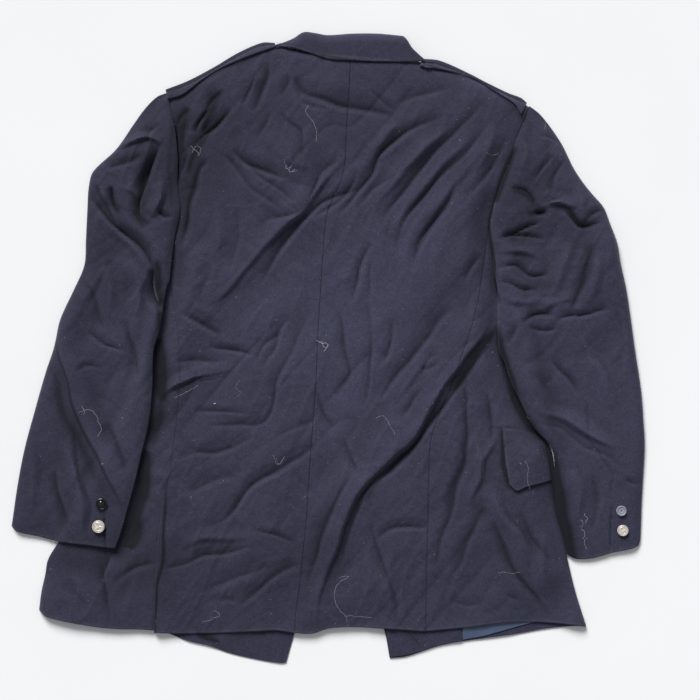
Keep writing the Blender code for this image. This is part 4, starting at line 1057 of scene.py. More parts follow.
def shaded(x, y, shadows):
    """Tone of the painted shadow lines: t sin(pi s)^0.4 exp(-(d/w)^2), the darkest of them at each place."""
    tone = np.zeros_like(x)
    x, y = wandered(x, y)
    for row in shadows:
        near = within(row.path, SHADOW_REACH * max(row.left, row.right), x, y)
        if not near.any():
            continue
        away, share = beside(row.path, PATH_SAMPLES, x[near], y[near])
        ends = np.sin(np.pi * np.clip(share, 0.0, 1.0)) ** SHADOW_TAPER
        dark = row.tone * ends * bell(away, np.where(away > 0, row.left, row.right))
        tone[near] = np.minimum(tone[near], dark)
    return tone


def fold_shadows(creases):
    """A dark line in each deep crease, wider on the side that faces away from the light."""
    rows = []
    for crease in creases:
        if crease.height > -FOLD_LEAST:
            continue
        run = np.subtract(crease.path[-1], crease.path[0])
        to_light = LIGHT_SIDE[1] * -run[0] + LIGHT_SIDE[0] * run[1] < 0
        core, side = FOLD_CORE * crease.left, FOLD_SIDE * crease.left
        left, right = (side, core) if to_light else (core, side)
        rows.append(Shadow(crease.path, left, right, FOLD_DARK * crease.height, "both"))
    return rows


def painted_light_and_shade(grid, weave, width, length, folded_sides, shadows):
    """Painted light and shade: paler on tops and darker in hollows, by tanh of the height above the cloth
    round it, plus the broad painted patches and painted shadow lines.
    """
    z = grid[..., 2]
    proud = np.tanh(sum((z - blurred(blurred(z, cells), cells)) / depth for cells, depth in CAVITIES))
    near_side = sides_shade(weave, width, length, folded_sides, CAVITY_EDGE)[: z.size].reshape(z.shape)
    # Painted highlight on tops and painted shade in hollows, faded near the folded sides
    tone = np.where(proud > 0, TOP_HIGHLIGHT, HOLLOW_SHADE) * proud * (1.0 - near_side)
    for row in LIGHT_AND_SHADE_PATCHES:
        a, b = turned_axes(grid[..., 0] - row.x, grid[..., 1] - row.y, row.turn)
        tone = tone + row.tone * np.exp(-((a / row.along) ** 2 + (b / row.across) ** 2))
    tone = tone + shaded(grid[..., 0], grid[..., 1], shadows)
    return np.clip(tone, *LIGHT_AND_SHADE_LIMITS)


def wall(name, grid, weave, thickness, flat_sides):
    """A closed wall of cloth: the grid moved out and in by half the thickness, and a rim between."""
    normals = grid_normals(grid, flat_sides)
    rows, columns = grid.shape[:2]
    half = thickness / 2
    outer, inner = grid + half * normals, grid - half * normals
    outer[..., 2], inner[..., 2] = np.maximum(outer[..., 2], 0.0), np.maximum(inner[..., 2], 0.0)
    count = rows * columns
    points = np.concatenate([outer.reshape(-1, 3), inner.reshape(-1, 3)]) * MM
    index = np.arange(count).reshape(rows, columns)
    a, b, c, d = index[:-1, :-1], index[1:, :-1], index[1:, 1:], index[:-1, 1:]
    top = np.stack([a, b, c, d], axis=-1).reshape(-1, 4)
    ring = ring_of(rows, columns)
    after = np.roll(ring, -1)
    rim = np.stack([ring, ring + count, after + count, after], axis=-1)
    faces = np.concatenate([top, top[:, ::-1] + count, rim])
    mesh = mesh_from(name, points, faces)
    places = np.concatenate([weave.reshape(-1, 2)] * 2) * MM
    paint_places(mesh, places)
    return mesh, outer


def mesh_from(name, points, faces):
    """A mesh from whole arrays of points, in metres, and four-cornered faces."""
    mesh = bpy.data.meshes.new(name)
    mesh.vertices.add(len(points))
    mesh.vertices.foreach_set("co", np.ascontiguousarray(points, np.float32).ravel())
    mesh.loops.add(faces.size)
    mesh.loops.foreach_set("vertex_index", np.ascontiguousarray(faces, np.int32).ravel())
    mesh.polygons.add(len(faces))
    mesh.polygons.foreach_set("loop_start", np.arange(0, faces.size, faces.shape[1], dtype=np.int32))
    mesh.update(calc_edges=True)
    mesh.validate()
    mesh.shade_smooth()
    mesh.set_sharp_from_angle(angle=np.radians(SHARP_ANGLE))
    return mesh


def listed_mesh(name, points, faces):
    """A smooth mesh from an array of points, in metres, and a list of faces of any size."""
    mesh = bpy.data.meshes.new(name)
    mesh.from_pydata(points.tolist(), [], faces)
    mesh.update(calc_edges=True)
    mesh.shade_smooth()
    return mesh


def paint_places(mesh, places):
    """Stores each point's place on the cloth, in metres, as the mesh's UV map."""
    corner = np.empty(len(mesh.loops), np.int32)
    mesh.loops.foreach_get("vertex_index", corner)
    layer = mesh.uv_layers.new(name="weave")
    layer.data.foreach_set("uv", places[corner].astype(np.float32).ravel())


def paint_shade(mesh, name, values):
    """Stores one number for each point, for a material to read."""
    attribute = mesh.attributes.new(name, "FLOAT", "POINT")
    attribute.data.foreach_set("value", np.asarray(values, np.float32))


def add_node(tree, kind, inputs=None, **settings):
    """A node of a material, with the inputs and settings given by name."""
    node = tree.nodes.new(kind)
    for name, value in settings.items():
        setattr(node, name, value)
    for name, value in (inputs or {}).items():
        node.inputs[name].default_value = value
    return node


def blend_colours(tree, how, share, first, second):
    """Mixes two colours; share, first and second are numbers, colours or sockets."""
    node = tree.nodes.new("ShaderNodeMix")
    node.data_type = "RGBA"
    node.blend_type = how
    for socket, value in ((0, share), (6, first), (7, second)):
        if hasattr(value, "is_output"):
            tree.links.new(value, node.inputs[socket])
        else:
            node.inputs[socket].default_value = value
    return node.outputs[2]


def band_of(tree, value, low, high, bottom=0.0, top=1.0):
    """A value's run from low to high, read as bottom to top."""
    node = add_node(tree, "ShaderNodeMapRange")
    for name, number in (("From Min", low), ("From Max", high), ("To Min", bottom), ("To Max", top)):
        node.inputs[name].default_value = number
    tree.links.new(value, node.inputs["Value"])
    return node.outputs["Result"]


def noise_of(tree, where, scale, detail=3.0, roughness=0.55):
    """A noise texture's value at those places."""
    node = add_node(tree, "ShaderNodeTexNoise", {"Scale": scale, "Detail": detail, "Roughness": roughness})
    tree.links.new(where, node.inputs["Vector"])
    return node.outputs["Fac"]


def new_material(name):
    """A material with nodes, its tree and its shader."""
    material = bpy.data.materials.new(name)
    material.use_nodes = True
    tree = material.node_tree
    return material, tree, tree.nodes["Principled BSDF"]


def opaque(colour):
    """A colour with its alpha."""
    return (*colour, 1.0)


def grey_of(tree, value):
    """A number as a grey colour."""
    node = add_node(tree, "ShaderNodeCombineColor")
    for socket in node.inputs[:3]:
        tree.links.new(value, socket)
    return node.outputs["Color"]


def dappled(tree, tone, value, low, high, dark, light):
    """A colour times a factor that goes from dark to light as the value goes from low to high."""
    factor = grey_of(tree, band_of(tree, value, low, high, dark, light))
    return blend_colours(tree, "MULTIPLY", 1.0, tone, factor)


def stored(tree, name):
    """A number that the mesh stores for each point."""
    return add_node(tree, "ShaderNodeAttribute", attribute_name=name).outputs["Fac"]


def bumped(tree, height, strength, distance, under=None):
    """The normal after a bump, laid over another one where that is given."""
    node = add_node(tree, "ShaderNodeBump", {"Strength": strength, "Distance": distance})
    tree.links.new(height, node.inputs["Height"])
    if under is not None:
        tree.links.new(under, node.inputs["Normal"])
    return node.outputs["Normal"]


def twill_material(name, colour, pale, wale, sheen):
    """Woven wool: fine diagonal wales, a speckled nap, cloudy tone, painted shade at the joins, painted light
    and shade from the mesh, and rubbed edges with a painted highlight.
    """
    material, tree, shader = new_material(name)
    cloth = add_node(tree, "ShaderNodeUVMap", uv_map="weave").outputs["UV"]
    place = add_node(tree, "ShaderNodeTexCoord").outputs["Object"]
    wales = add_node(tree, "ShaderNodeTexWave", {"Scale": 0.31 / wale, "Distortion": 0.6, "Detail": 1.0},
                     wave_type="BANDS", bands_direction="DIAGONAL")
    tree.links.new(cloth, wales.inputs["Vector"])
    yarn = noise_of(tree, cloth, 1100.0, 2.0)
    nap = noise_of(tree, place, 420.0, 4.0, 0.7)
    fuzz = noise_of(tree, place, 150.0, 4.0, 0.65)
    cloud = noise_of(tree, place, 7.0, 3.0)
    streak = noise_of(tree, place, 34.0, 3.0)
    tone = blend_colours(tree, "MIX", band_of(tree, nap, 0.3, 0.72), opaque(colour), opaque(pale))
    tone = dappled(tree, tone, fuzz, 0.3, 0.7, 0.86, 1.15)
    tone = dappled(tree, tone, cloud, 0.3, 0.7, 0.93, 1.08)
    tone = dappled(tree, tone, streak, 0.3, 0.7, 0.94, 1.06)
    tone = dappled(tree, tone, wales.outputs["Fac"], 0.0, 1.0, 0.9, 1.06)
    specks = band_of(tree, noise_of(tree, place, 260.0, 2.0), 0.735, 0.78)
    tone = blend_colours(tree, "MIX", specks, tone, (0.16, 0.165, 0.2, 1.0))
    # Painted shade along the joined sides, where the seams fold in
    tone = blend_colours(tree, "MULTIPLY", stored(tree, "join"), tone, (0.7, 0.7, 0.72, 1.0))
    # Painted light and shade from the mesh's nap numbers
    tone = dappled(tree, tone, stored(tree, "nap"), -1.0, 1.0, 0.0, 2.0)
    # Rubbed wear with a painted highlight on the folded edges, dimmed where painted shade lies
    tone = blend_colours(tree, "ADD", stored(tree, "rub_and_highlight"), tone, (0.012, 0.012, 0.015, 1.0))
    tree.links.new(tone, shader.inputs["Base Color"])
    tree.links.new(band_of(tree, fuzz, 0.3, 0.7, 0.78, 0.92), shader.inputs["Roughness"])
    shader.inputs["Specular IOR Level"].default_value = 0.22
    shader.inputs["Sheen Weight"].default_value = sheen
    shader.inputs["Sheen Roughness"].default_value = 0.45
    shader.inputs["Sheen Tint"].default_value = (0.62, 0.66, 0.82, 1.0)
    relief = add_node(tree, "ShaderNodeMath", operation="MULTIPLY_ADD")
    tree.links.new(wales.outputs["Fac"], relief.inputs[0])
    relief.inputs[1].default_value = 0.6
    tree.links.new(yarn, relief.inputs[2])
    weave = bumped(tree, relief.outputs[0], 0.35, 0.00025)
    tree.links.new(bumped(tree, fuzz, 0.3, 0.0012, weave), shader.inputs["Normal"])
    return material


def satin_material(name, colour):
    """Lining: smooth satin with long soft streaks along its warp."""
    material, tree, shader = new_material(name)
    cloth = add_node(tree, "ShaderNodeUVMap", uv_map="weave").outputs["UV"]
    turned = add_node(tree, "ShaderNodeMapping", {"Scale": (1.0, 0.08, 1.0)})
    tree.links.new(cloth, turned.inputs["Vector"])
    streak = noise_of(tree, turned.outputs["Vector"], 900.0, 3.0)
    cloud = noise_of(tree, cloth, 40.0, 3.0)
    tone = dappled(tree, opaque(colour), streak, 0.3, 0.7, 0.85, 1.12)
    tone = dappled(tree, tone, cloud, 0.3, 0.7, 0.8, 1.15)
    tree.links.new(tone, shader.inputs["Base Color"])
    shader.inputs["Roughness"].default_value = 0.42
    shader.inputs["Sheen Weight"].default_value = 0.2
    tree.links.new(bumped(tree, streak, 0.3, 0.0002), shader.inputs["Normal"])
    return material


def thread_material(name, colour):
    """Spun fibre: matt, with a little unevenness along it."""
    material, tree, shader = new_material(name)
    place = add_node(tree, "ShaderNodeTexCoord").outputs["Object"]
    tone = dappled(tree, opaque(colour), noise_of(tree, place, 900.0), 0.3, 0.7, 0.75, 1.15)
    tree.links.new(tone, shader.inputs["Base Color"])
    shader.inputs["Roughness"].default_value = 0.8
    shader.inputs["Sheen Weight"].default_value = 0.2
    return material


def button_material(name, colour, metallic, roughness, tarnish_and_shade):
    """A button's metal or enamel: handling marks in its gloss, and a darker colour in its hollows: patina on
    the silver buttons, painted shade in the grey button's centre dip.
    """
    material, tree, shader = new_material(name)
    place = add_node(tree, "ShaderNodeTexCoord").outputs["Object"]
    smear = noise_of(tree, place, 260.0, 4.0, 0.6)
    tone = blend_colours(tree, "MIX", band_of(tree, smear, 0.42, 0.68, 0.0, 0.3), opaque(colour),
                         opaque(tarnish_and_shade))
    tone = blend_colours(tree, "MIX", stored(tree, "hollow"), tone, opaque(tarnish_and_shade))
    tree.links.new(tone, shader.inputs["Base Color"])
    tree.links.new(band_of(tree, smear, 0.3, 0.7, roughness * 0.8, roughness * 1.5),
                   shader.inputs["Roughness"])
    shader.inputs["Metallic"].default_value = metallic
    tree.links.new(bumped(tree, smear, 0.15, 0.0001), shader.inputs["Normal"])
    return material


def floor_material(name, colour):
    """The table: matt and pale."""
    material, tree, shader = new_material(name)
    place = add_node(tree, "ShaderNodeTexCoord").outputs["Object"]
    tone = dappled(tree, opaque(colour), noise_of(tree, place, 3.0), 0.3, 0.7, 0.99, 1.01)
    tree.links.new(tone, shader.inputs["Base Color"])
    shader.inputs["Roughness"].default_value = 0.9
    return material


def length_value(name, description, default):
    """A property that holds a length."""
    return FloatProperty(name=name, description=description, default=default, unit="LENGTH")


def colour_value(name, description, default):
    """A property that holds a colour."""
    return FloatVectorProperty(name=name, description=description, subtype="COLOR", size=3, default=default)


class JacketCloth(bpy.types.PropertyGroup):
    """Sizes and colours of the cloth."""

    thickness: length_value("Thickness", "Thickness of the twill", 1.5 * MM)
    grid_step: length_value("Grid step", "Spacing of the points on the cloth", 2.25 * MM)
    wale: length_value("Wale", "Spacing of the twill's diagonal ribs", 0.95 * MM)
    navy: colour_value("Navy", "Darker tone of the cloth", (0.022, 0.022, 0.042))
    nap: colour_value("Nap", "Lighter tone, where the nap stands", (0.042, 0.042, 0.072))
    sheen: FloatProperty(
        name="Sheen", description="How much the nap catches light at a slant", default=0.22,
        min=0.0, max=1.0)
    lining: colour_value("Lining", "Colour of the satin lining", (0.06, 0.085, 0.16))
    lint: colour_value("Lint", "Colour of pale lint and thread ends", (0.34, 0.35, 0.38))


class JacketButtons(bpy.types.PropertyGroup):
    """Colours of the cuff buttons."""

    black: colour_value("Black", "Glossy black button", (0.008, 0.008, 0.011))
    grey: colour_value("Grey", "Grey-blue button", (0.3, 0.3, 0.37))
    silver: colour_value("Silver", "Silver-coloured button", (0.8, 0.75, 0.68))


class JacketStage(bpy.types.PropertyGroup):
    """The table, the light and the camera."""

    camera_height: length_value("Camera height", "Height of the camera over the table", 3.0)
    view_width: length_value("View width", "Width of table across the picture", 0.945)
    key: FloatProperty(
        name="Key light", description="Strength of the soft light from above the collar", default=3.7,
        min=0.0)
    key_height: FloatProperty(
        name="Key height", description="Angle of that light above the table", subtype="ANGLE",
        default=np.radians(36.0))
    key_softness: FloatProperty(
        name="Key softness", description="Angle that the light fills in the sky", subtype="ANGLE",
        default=np.radians(28.0))
    fill: FloatProperty(
        name="Fill light", description="Strength of the light all round", default=0.34, min=0.0)
    floor: colour_value("Floor", "Colour of the table", (0.9, 0.9, 0.9))


OUTER = {}
MATERIALS = {}


def shared_material(name, make, *values):
    """The material of that name, made the first time that it is asked for."""
    if name not in MATERIALS:
        MATERIALS[name] = make(name, *values)
    return MATERIALS[name]


def navy_twill(cloth):
    """The jacket's own cloth."""
    return shared_material(
        "navy_twill", twill_material, tuple(cloth.navy), tuple(cloth.nap), cloth.wale, cloth.sheen)


def add_piece(name, mesh, material, slot, nodes=()):
    """A finished piece of the jacket: its object, material, body and the solids it stands for. The slot is
    not used.
    """
    mesh.materials.append(material)
    piece = bpy.data.objects.new(name, mesh)
    bpy.context.scene.collection.objects.link(piece)
    if nodes:
        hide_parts(*nodes)
    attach(piece, "root")
    return piece


def on_both_faces(values):
    """A grid of numbers as a row, once for the outer and once for the inner face of its wall."""
    return np.concatenate([values.ravel()] * 2)


def sides_shade(weave, width, length, sides, reach):
    """Closeness to the named sides, exp(-(d / reach)^2), for each point of a panel's wall."""
    away = {
        "left": weave[..., 0], "right": width - weave[..., 0],
        "top": weave[..., 1], "bottom": length - weave[..., 1],
    }
    shade = np.zeros(weave.shape[:2])
    for side in sides:
        shade = np.maximum(shade, bell(away[side], reach))
    return on_both_faces(shade)


# Panels: nominal width and length, spacing of the points (none is the cloth's own) and what carries them
Panel = namedtuple("Panel", "width length step rests_on")
PANELS = {
    "front_left": Panel(260, 760, 3.8, ()),
    "front_right": Panel(270, 740, 5, ()),
    "facing_right": Panel(106, 60, 2.2, ("front_right",)),
    "lining_right": Panel(106, 60, 2.2, ("front_right",)),
    "side_left": Panel(110, 480, None, ("front_left",)),
    "side_right": Panel(150, 560, None, ("front_right",)),
    "back_left": Panel(230, 780, None, ("front_left", "side_left")),
    "back_right": Panel(215, 760, None, ("front_right",)),
    "sleeve_left_under": Panel(135, 610, 5, ("front_left", "side_left")),
    "sleeve_right_under": Panel(135, 610, 5, ("front_right", "side_right")),
    "sleeve_left_top": Panel(135, 610, None, ("sleeve_left_under",)),
    "sleeve_right_top": Panel(135, 610, None, ("sleeve_right_under",)),
    "collar_fall": Panel(190, 36, 2.2, ("back_left", "back_right")),
    "collar_stand": Panel(160, 26, 3, ("front_left", "front_right")),
    "shoulder_strap_left": Panel(160, 14, 2.2, ("back_left",)),
    "shoulder_strap_right": Panel(160, 14, 2.2, ("back_right",)),
    "pocket_flap_right": Panel(50, 68, 2, ("side_right",)),
}


def cloth_piece(name, place, height, lips=(), thickness=None, material=None, slot="navy_twill",
                joins=(), tone=0.0, creases=()):
    """A panel of cloth: its wall, folded edges and painted light and shade. A lip is (side, radius, arc)."""
    cloth = bpy.context.scene.jacket_cloth
    width, length, step, rests_on = PANELS[name]
    grid, weave = panel_grid(place, height, width, length, step or cloth.grid_step / MM)
    for side, radius, arc in lips:
        if callable(radius):
            share = side_first(weave, side)[0]
            radius = radius(share[:, 1] / length if side in ("left", "right") else share[:, 0] / width)
        grid, weave = lipped(grid, weave, side, radius, arc)
    across, along, area = cut_size(grid)
    folded_sides = [side for side, _, _ in lips]
    flat_sides = [side for side in ("left", "right", "top", "bottom") if side not in folded_sides]
    mesh, outer = wall(name, grid, weave, thickness or cloth.thickness / MM, flat_sides)
    # Painted shade at the seams, by closeness to the joined sides
    paint_shade(mesh, "join", sides_shade(weave, width, length, joins, JOIN_SHADE_REACH))
    place_on = "sleeve" if name.startswith("sleeve") else "body"
    shadows = fold_shadows(creases) + [row for row in SHADOWS if row.on in ("both", place_on)]
    # Painted light and shade: hollows, tops, patches and shadow lines, plus the piece's own painted tone
    nap = painted_light_and_shade(grid, weave, width, length, folded_sides, shadows) + tone
    paint_shade(mesh, "nap", on_both_faces(nap))
    # Folded edges: rubbed wear with a painted highlight, dimmed where painted shade lies
    rubbed_and_highlit_sides = [side for side in folded_sides if side not in joins]
    rub_and_highlight = sides_shade(weave, width, length, rubbed_and_highlit_sides, RUB_AND_HIGHLIGHT_REACH)
    paint_shade(mesh, "rub_and_highlight", rub_and_highlight * on_both_faces(np.clip(1.0 + 2.0 * nap, 0.0, 1.0)))
    OUTER[name] = outer.reshape(-1, 3)
    piece = add_piece(f"cloth_{name}", mesh, material or navy_twill(cloth), slot, (name,))
    list(rests_on)


def freed(lip, share):
    """The radius of a folded edge that is sewn down to that share of its length and free below it."""
    return lambda s: lip.sewn_radius + lip.growth * smooth((s - share) / lip.run)


def cut_size(grid):
    """The width, length and area of the flat cloth: the longest row and column, and all its faces."""
    across = np.linalg.norm(np.diff(grid, axis=1), axis=2).sum(axis=1).max()
    along = np.linalg.norm(np.diff(grid, axis=0), axis=2).sum(axis=0).max()
    one, other = grid[1:, 1:] - grid[:-1, :-1], grid[1:, :-1] - grid[:-1, 1:]
    area = np.linalg.norm(np.cross(one, other), axis=2).sum() / 2
    return across, along, area


class JACKET_OT_backs(bpy.types.Operator):
    """Make the two halves of the back, joined at the centre seam"""

    bl_idname = "jacket.backs"
    bl_label = "Back"

    def execute(self, context):
        seam = SEAM_GAP / 2
        side = joined(edge(ARMHOLE_LEFT, seam), edge(SIDE_SEAM_LEFT, seam), LEFT_ARMHOLE_SHARE)
        top = joined(edge(SHOULDER_LEFT), edge(NECK_LEFT), LEFT_SHOULDER_SHARE)
        place = patch(side, edge(CENTRE_SEAM, -seam), top, edge(HEM_BACK_LEFT))
        cloth_piece(
            "back_left", place, vent_back_height, joins=("left", "right"),
            creases=YOKE_CREASES + BACK_CREASES,
            lips=(
                ("left", freed(VENT_LIP, VENT_SHARE), LEVEL_LIP),
                ("top", LIP_RADIUS, UPRIGHT_LIP), ("bottom", HEM_RADIUS, LEVEL_LIP),
            ))
        side = joined(edge(ARMHOLE_RIGHT, -seam), edge(SIDE_SEAM_RIGHT, -seam), RIGHT_ARMHOLE_SHARE)
        top = joined(edge(NECK_RIGHT), edge(SHOULDER_RIGHT), RIGHT_NECK_SHARE)
        place = patch(edge(CENTRE_SEAM, seam), side, top, edge(HEM_BACK_RIGHT))
        cloth_piece(
            "back_right", place, lambda x, y, v: body_height(x, y), joins=("left", "right"),
            lips=(("top", LIP_RADIUS, UPRIGHT_LIP), ("bottom", HEM_RADIUS, LEVEL_LIP)),
            creases=YOKE_CREASES + BACK_CREASES + SIDE_CREASES)
        return {"FINISHED"}


class JACKET_OT_sides(bpy.types.Operator):
    """Make the side panels, the left one running on under the back at the vent"""

    bl_idname = "jacket.sides"
    bl_label = "Side panels"

    def execute(self, context):
        seam = SEAM_GAP / 2
        lap_left = edge(SIDE_SEAM_LEFT, -seam)

        def left_seam(s):
            at = lap_left(s)
            at[:, 0] += VENT_UNDERLAP * smooth(
                (VENT_TOP_Y - VENT_UNDERLAP_BELOW - at[:, 1]) / VENT_UNDERLAP_RUN)
            return at

        top = edge((BODY_EDGE_LEFT[0], SIDE_SEAM_LEFT[0]))
        hem = HEM_SIDE_LEFT[:-1] + (VENT_HEM_CORNER,)
        place = patch(edge(BODY_EDGE_LEFT), left_seam, top, edge(hem))
        cloth_piece(
            "side_left", place, side_height, joins=("right",), creases=SIDE_CREASES,
            lips=(("left", LIP_RADIUS, UPRIGHT_LIP), ("bottom", HEM_RADIUS, LEVEL_LIP)))
        top = edge((SIDE_SEAM_RIGHT[0], BODY_EDGE_RIGHT[0]))
        place = patch(edge(SIDE_SEAM_RIGHT, seam), edge(BODY_EDGE_RIGHT), top, edge(HEM_SIDE_RIGHT))
        cloth_piece(
            "side_right", place, side_height, joins=("left",), creases=BACK_CREASES + SIDE_CREASES,
            lips=(("right", LIP_RADIUS, UPRIGHT_LIP), ("bottom", HEM_RADIUS, LEVEL_LIP)))
        return {"FINISHED"}


def front_height(x, y, v):
    """The fronts lie on the table, a little uneven where their lower edge shows."""
    rise = FRONT_RELIEF * smooth(0.5 + PATCH_CONTRAST * noise(x, y, *FRONT_WAVES, 80))
    return ON_TABLE + rise * smooth((FRONT_SHOWS_Y - y) / FRONT_SHOWS_RUN)


class JACKET_OT_fronts(bpy.types.Operator):
    """Make the fronts, which lie under the back and show below its hem"""

    bl_idname = "jacket.fronts"
    bl_label = "Fronts"

    def execute(self, context):
        seam = SEAM_GAP / 2
        side = joined(
            edge(ARMHOLE_LEFT, seam), edge(BODY_EDGE_LEFT, UNDER_INSET), LEFT_FRONT_SHARE)
        place = patch(side, edge(FRONT_EDGE_LEFT), edge(SHOULDER_LEFT), edge(HEM_FRONT_LEFT))
        cloth_piece("front_left", place, front_height)
        side = joined(
            edge(ARMHOLE_RIGHT, -seam), edge(BODY_EDGE_RIGHT, -UNDER_INSET), RIGHT_FRONT_SHARE)
        place = patch(edge(FRONT_EDGE_RIGHT), side, edge(SHOULDER_RIGHT), edge(HEM_FRONT_RIGHT))
        cloth_piece("front_right", place, front_height)
        return {"FINISHED"}


class JACKET_OT_inside(bpy.types.Operator):
    """Make the right front's facing and lining, which show below the hem"""

    bl_idname = "jacket.inside"
    bl_label = "Facing and lining"

    def execute(self, context):
        cloth = context.scene.jacket_cloth
        above = HALF_TWILL + SEAM_GAP + FACING_CLOTH / 2

        def height(x, y, v):
            return front_height(x, y, v) + above

        satin = shared_material("lining_satin", satin_material, tuple(cloth.lining))
        for name, left, right, hem, material, slot in (
            ("facing_right", FACING_EDGE, FACING_SIDE, FACING_HEM, navy_twill(cloth), "navy_twill"),
            ("lining_right", LINING_EDGE, LINING_SIDE, LINING_HEM, satin, "lining_satin"),
        ):
            place = patch(edge(left), edge(right), edge((left[0], right[0])), edge(hem))
            cloth_piece(name, place, height, thickness=FACING_CLOTH, material=material, slot=slot)
        return {"FINISHED"}


class JACKET_OT_sleeves(bpy.types.Operator):
    """Make both sleeves: the under sleeve on the table, and the top sleeve over it"""

    bl_idname = "jacket.sleeves"
    bl_label = "Sleeves"

    def execute(self, context):
        for sleeve in SLEEVES:
            self.make(sleeve)
        return {"FINISHED"}

    def make(self, sleeve):
        left = sleeve.side == "left"
        hand = sleeve.body_side
        out_side, in_side = ("left", "right") if left else ("right", "left")

        def place_with(out_inset, in_inset):
            inner = joined(edge(sleeve.armhole, -SEAM_GAP / 2 * hand),
                           edge(sleeve.inner, -(SEAM_GAP / 2 + in_inset) * hand), sleeve.share)
            out = edge(sleeve.out, out_inset * hand)
            ends = (sleeve.out[0], sleeve.armhole[0]), sleeve.cuff
            if not left:
                ends = ends[0][::-1], ends[1][::-1]
            sides = (out, inner) if left else (inner, out)
            return patch(*sides, edge(ends[0]), edge(ends[1]))

        def under(x, y, v):
            return under_sleeve_height(x, y, v, sleeve.share, sleeve.body_edge, hand)

        def top(x, y, v):
            return top_sleeve_height(x, y, v, sleeve)

        name = f"sleeve_{sleeve.side}"
        cloth_piece(f"{name}_under", place_with(UNDER_INSET, UNDER_INSET_AT_SEAM), under)
        cloth_piece(
            f"{name}_top", place_with(0.0, 0.0), top, creases=sleeve.creases,
            lips=(
                (out_side, LIP_RADIUS, UPRIGHT_LIP),
                (in_side, freed(SLEEVE_LIP, sleeve.share), UPRIGHT_LIP),
                ("bottom", CUFF_RADIUS, LEVEL_LIP),
            ))


class JACKET_OT_collar(bpy.types.Operator):
    """Make the collar: its fall turns over at the top and lies on the back, its stand is under it"""

    bl_idname = "jacket.collar"
    bl_label = "Collar"

    def execute(self, context):
        def height(x, y, v):
            up = roll(np.abs(off(COLLAR_TOP, x, y)) / COLLAR_ROLL)
            shape = EDGE_HEIGHT + COLLAR_TURN + (COLLAR_HEIGHT - EDGE_HEIGHT) * up
            shape = shape + COLLAR_RELIEF * noise(x, y, *COLLAR_WAVES, 90) * up
            return np.maximum(shape, body_height(x, y) + COLLAR_LIFT + COLLAR_SPRING * v)

        place = patch(edge(COLLAR_POINT), edge(COLLAR_END), edge(COLLAR_TOP), edge(COLLAR_FALL_EDGE))
        cloth_piece(
            "collar_fall", place, height, thickness=STRAP_CLOTH,
            lips=(*FINE_ENDS, ("top", LIP_RADIUS, UPRIGHT_LIP), ("bottom", STRAP_RADIUS, LEVEL_LIP)))
        ends = [edge((STAND_TOP[k], STAND_SEAM[k])) for k in (0, -1)]
        place = patch(*ends, edge(STAND_TOP), edge(STAND_SEAM))

        def stand_height(x, y, v):
            return STAND_TOP_HEIGHT + (EDGE_HEIGHT - STAND_TOP_HEIGHT) * v

        cloth_piece("collar_stand", place, stand_height)
        return {"FINISHED"}


class JACKET_OT_straps(bpy.types.Operator):
    """Make the shoulder straps, a layer above the back"""

    bl_idname = "jacket.straps"
    bl_label = "Shoulder straps"

    def execute(self, context):
        for side, out, inner in (
            ("left", STRAP_LEFT_OUT, STRAP_LEFT_IN), ("right", STRAP_RIGHT_OUT, STRAP_RIGHT_IN),
        ):
            place = patch(edge((out[0], inner[0])), edge((out[-1], inner[-1])), edge(out), edge(inner))

            def height(x, y, v):
                return body_height(x, y) + STRAP_CLEARANCE + STRAP_SPRING * v

            cloth_piece(
                # Painted shade: the strap's tone darkens its colour
                f"shoulder_strap_{side}", place, height, thickness=STRAP_CLOTH, tone=STRAP_SHADE,
                lips=(*FINE_ENDS, ("top", STRAP_RADIUS, LEVEL_LIP), ("bottom", STRAP_RADIUS, LEVEL_LIP)))
        return {"FINISHED"}


class JACKET_OT_flap(bpy.types.Operator):
    """Make the right pocket's flap"""

    bl_idname = "jacket.flap"
    bl_label = "Pocket flap"

    def execute(self, context):
        place = patch(edge(FLAP_LEFT), edge(FLAP_RIGHT), edge(FLAP_TOP), edge(FLAP_BOTTOM))

        def height(x, y, v):
            return side_height(x, y, v) + FLAP_CLEARANCE + FLAP_SPRING * v * v

        cloth_piece(
            "pocket_flap_right", place, height, thickness=FLAP_CLOTH,
            lips=(*FINE_ENDS, ("bottom", FINE_RADIUS, LEVEL_LIP)))
        return {"FINISHED"}


def turned(profile, sides, waves):
    """A turned form: (r(s) cos(t), r(s) sin(t), z(s)), closed at its poles, with waves added to z."""
    profile = np.array(profile, float)
    angle = np.linspace(0.0, 2 * np.pi, sides, endpoint=False)
    radius = profile[1:-1, 0][:, None] * np.ones(sides)
    height = profile[1:-1, 1][:, None] * np.ones(sides) + waves(radius, angle[None, :])
    ring = np.stack([radius * np.cos(angle), radius * np.sin(angle), height], axis=2)
    points = np.concatenate([[(0, 0, profile[0, 1])], ring.reshape(-1, 3), [(0, 0, profile[-1, 1])]])
    rings = len(profile) - 2
    index = 1 + np.arange(rings * sides).reshape(rings, sides)
    following = np.roll(index, -1, axis=1)
    side = np.stack([index[:-1], index[1:], following[1:], following[:-1]], axis=-1).reshape(-1, 4)
    top = np.stack([np.zeros(sides, int), index[0], following[0]], axis=-1)
    last = np.full(sides, len(points) - 1)
    bottom = np.stack([following[-1], index[-1], last], axis=-1)
    return points, side, np.concatenate([top, bottom])


ButtonForm = namedtuple("ButtonForm", "node slot kind")
BUTTONS = (
    ButtonForm("button_left_upper", "button_black", "domed"),
    ButtonForm("button_left_lower", "button_silver", "ringed"),
    ButtonForm("button_right_upper", "button_grey", "dished"),
    ButtonForm("button_right_lower", "button_silver", "ringed"),
)
BUTTON_SEGMENTS = 72


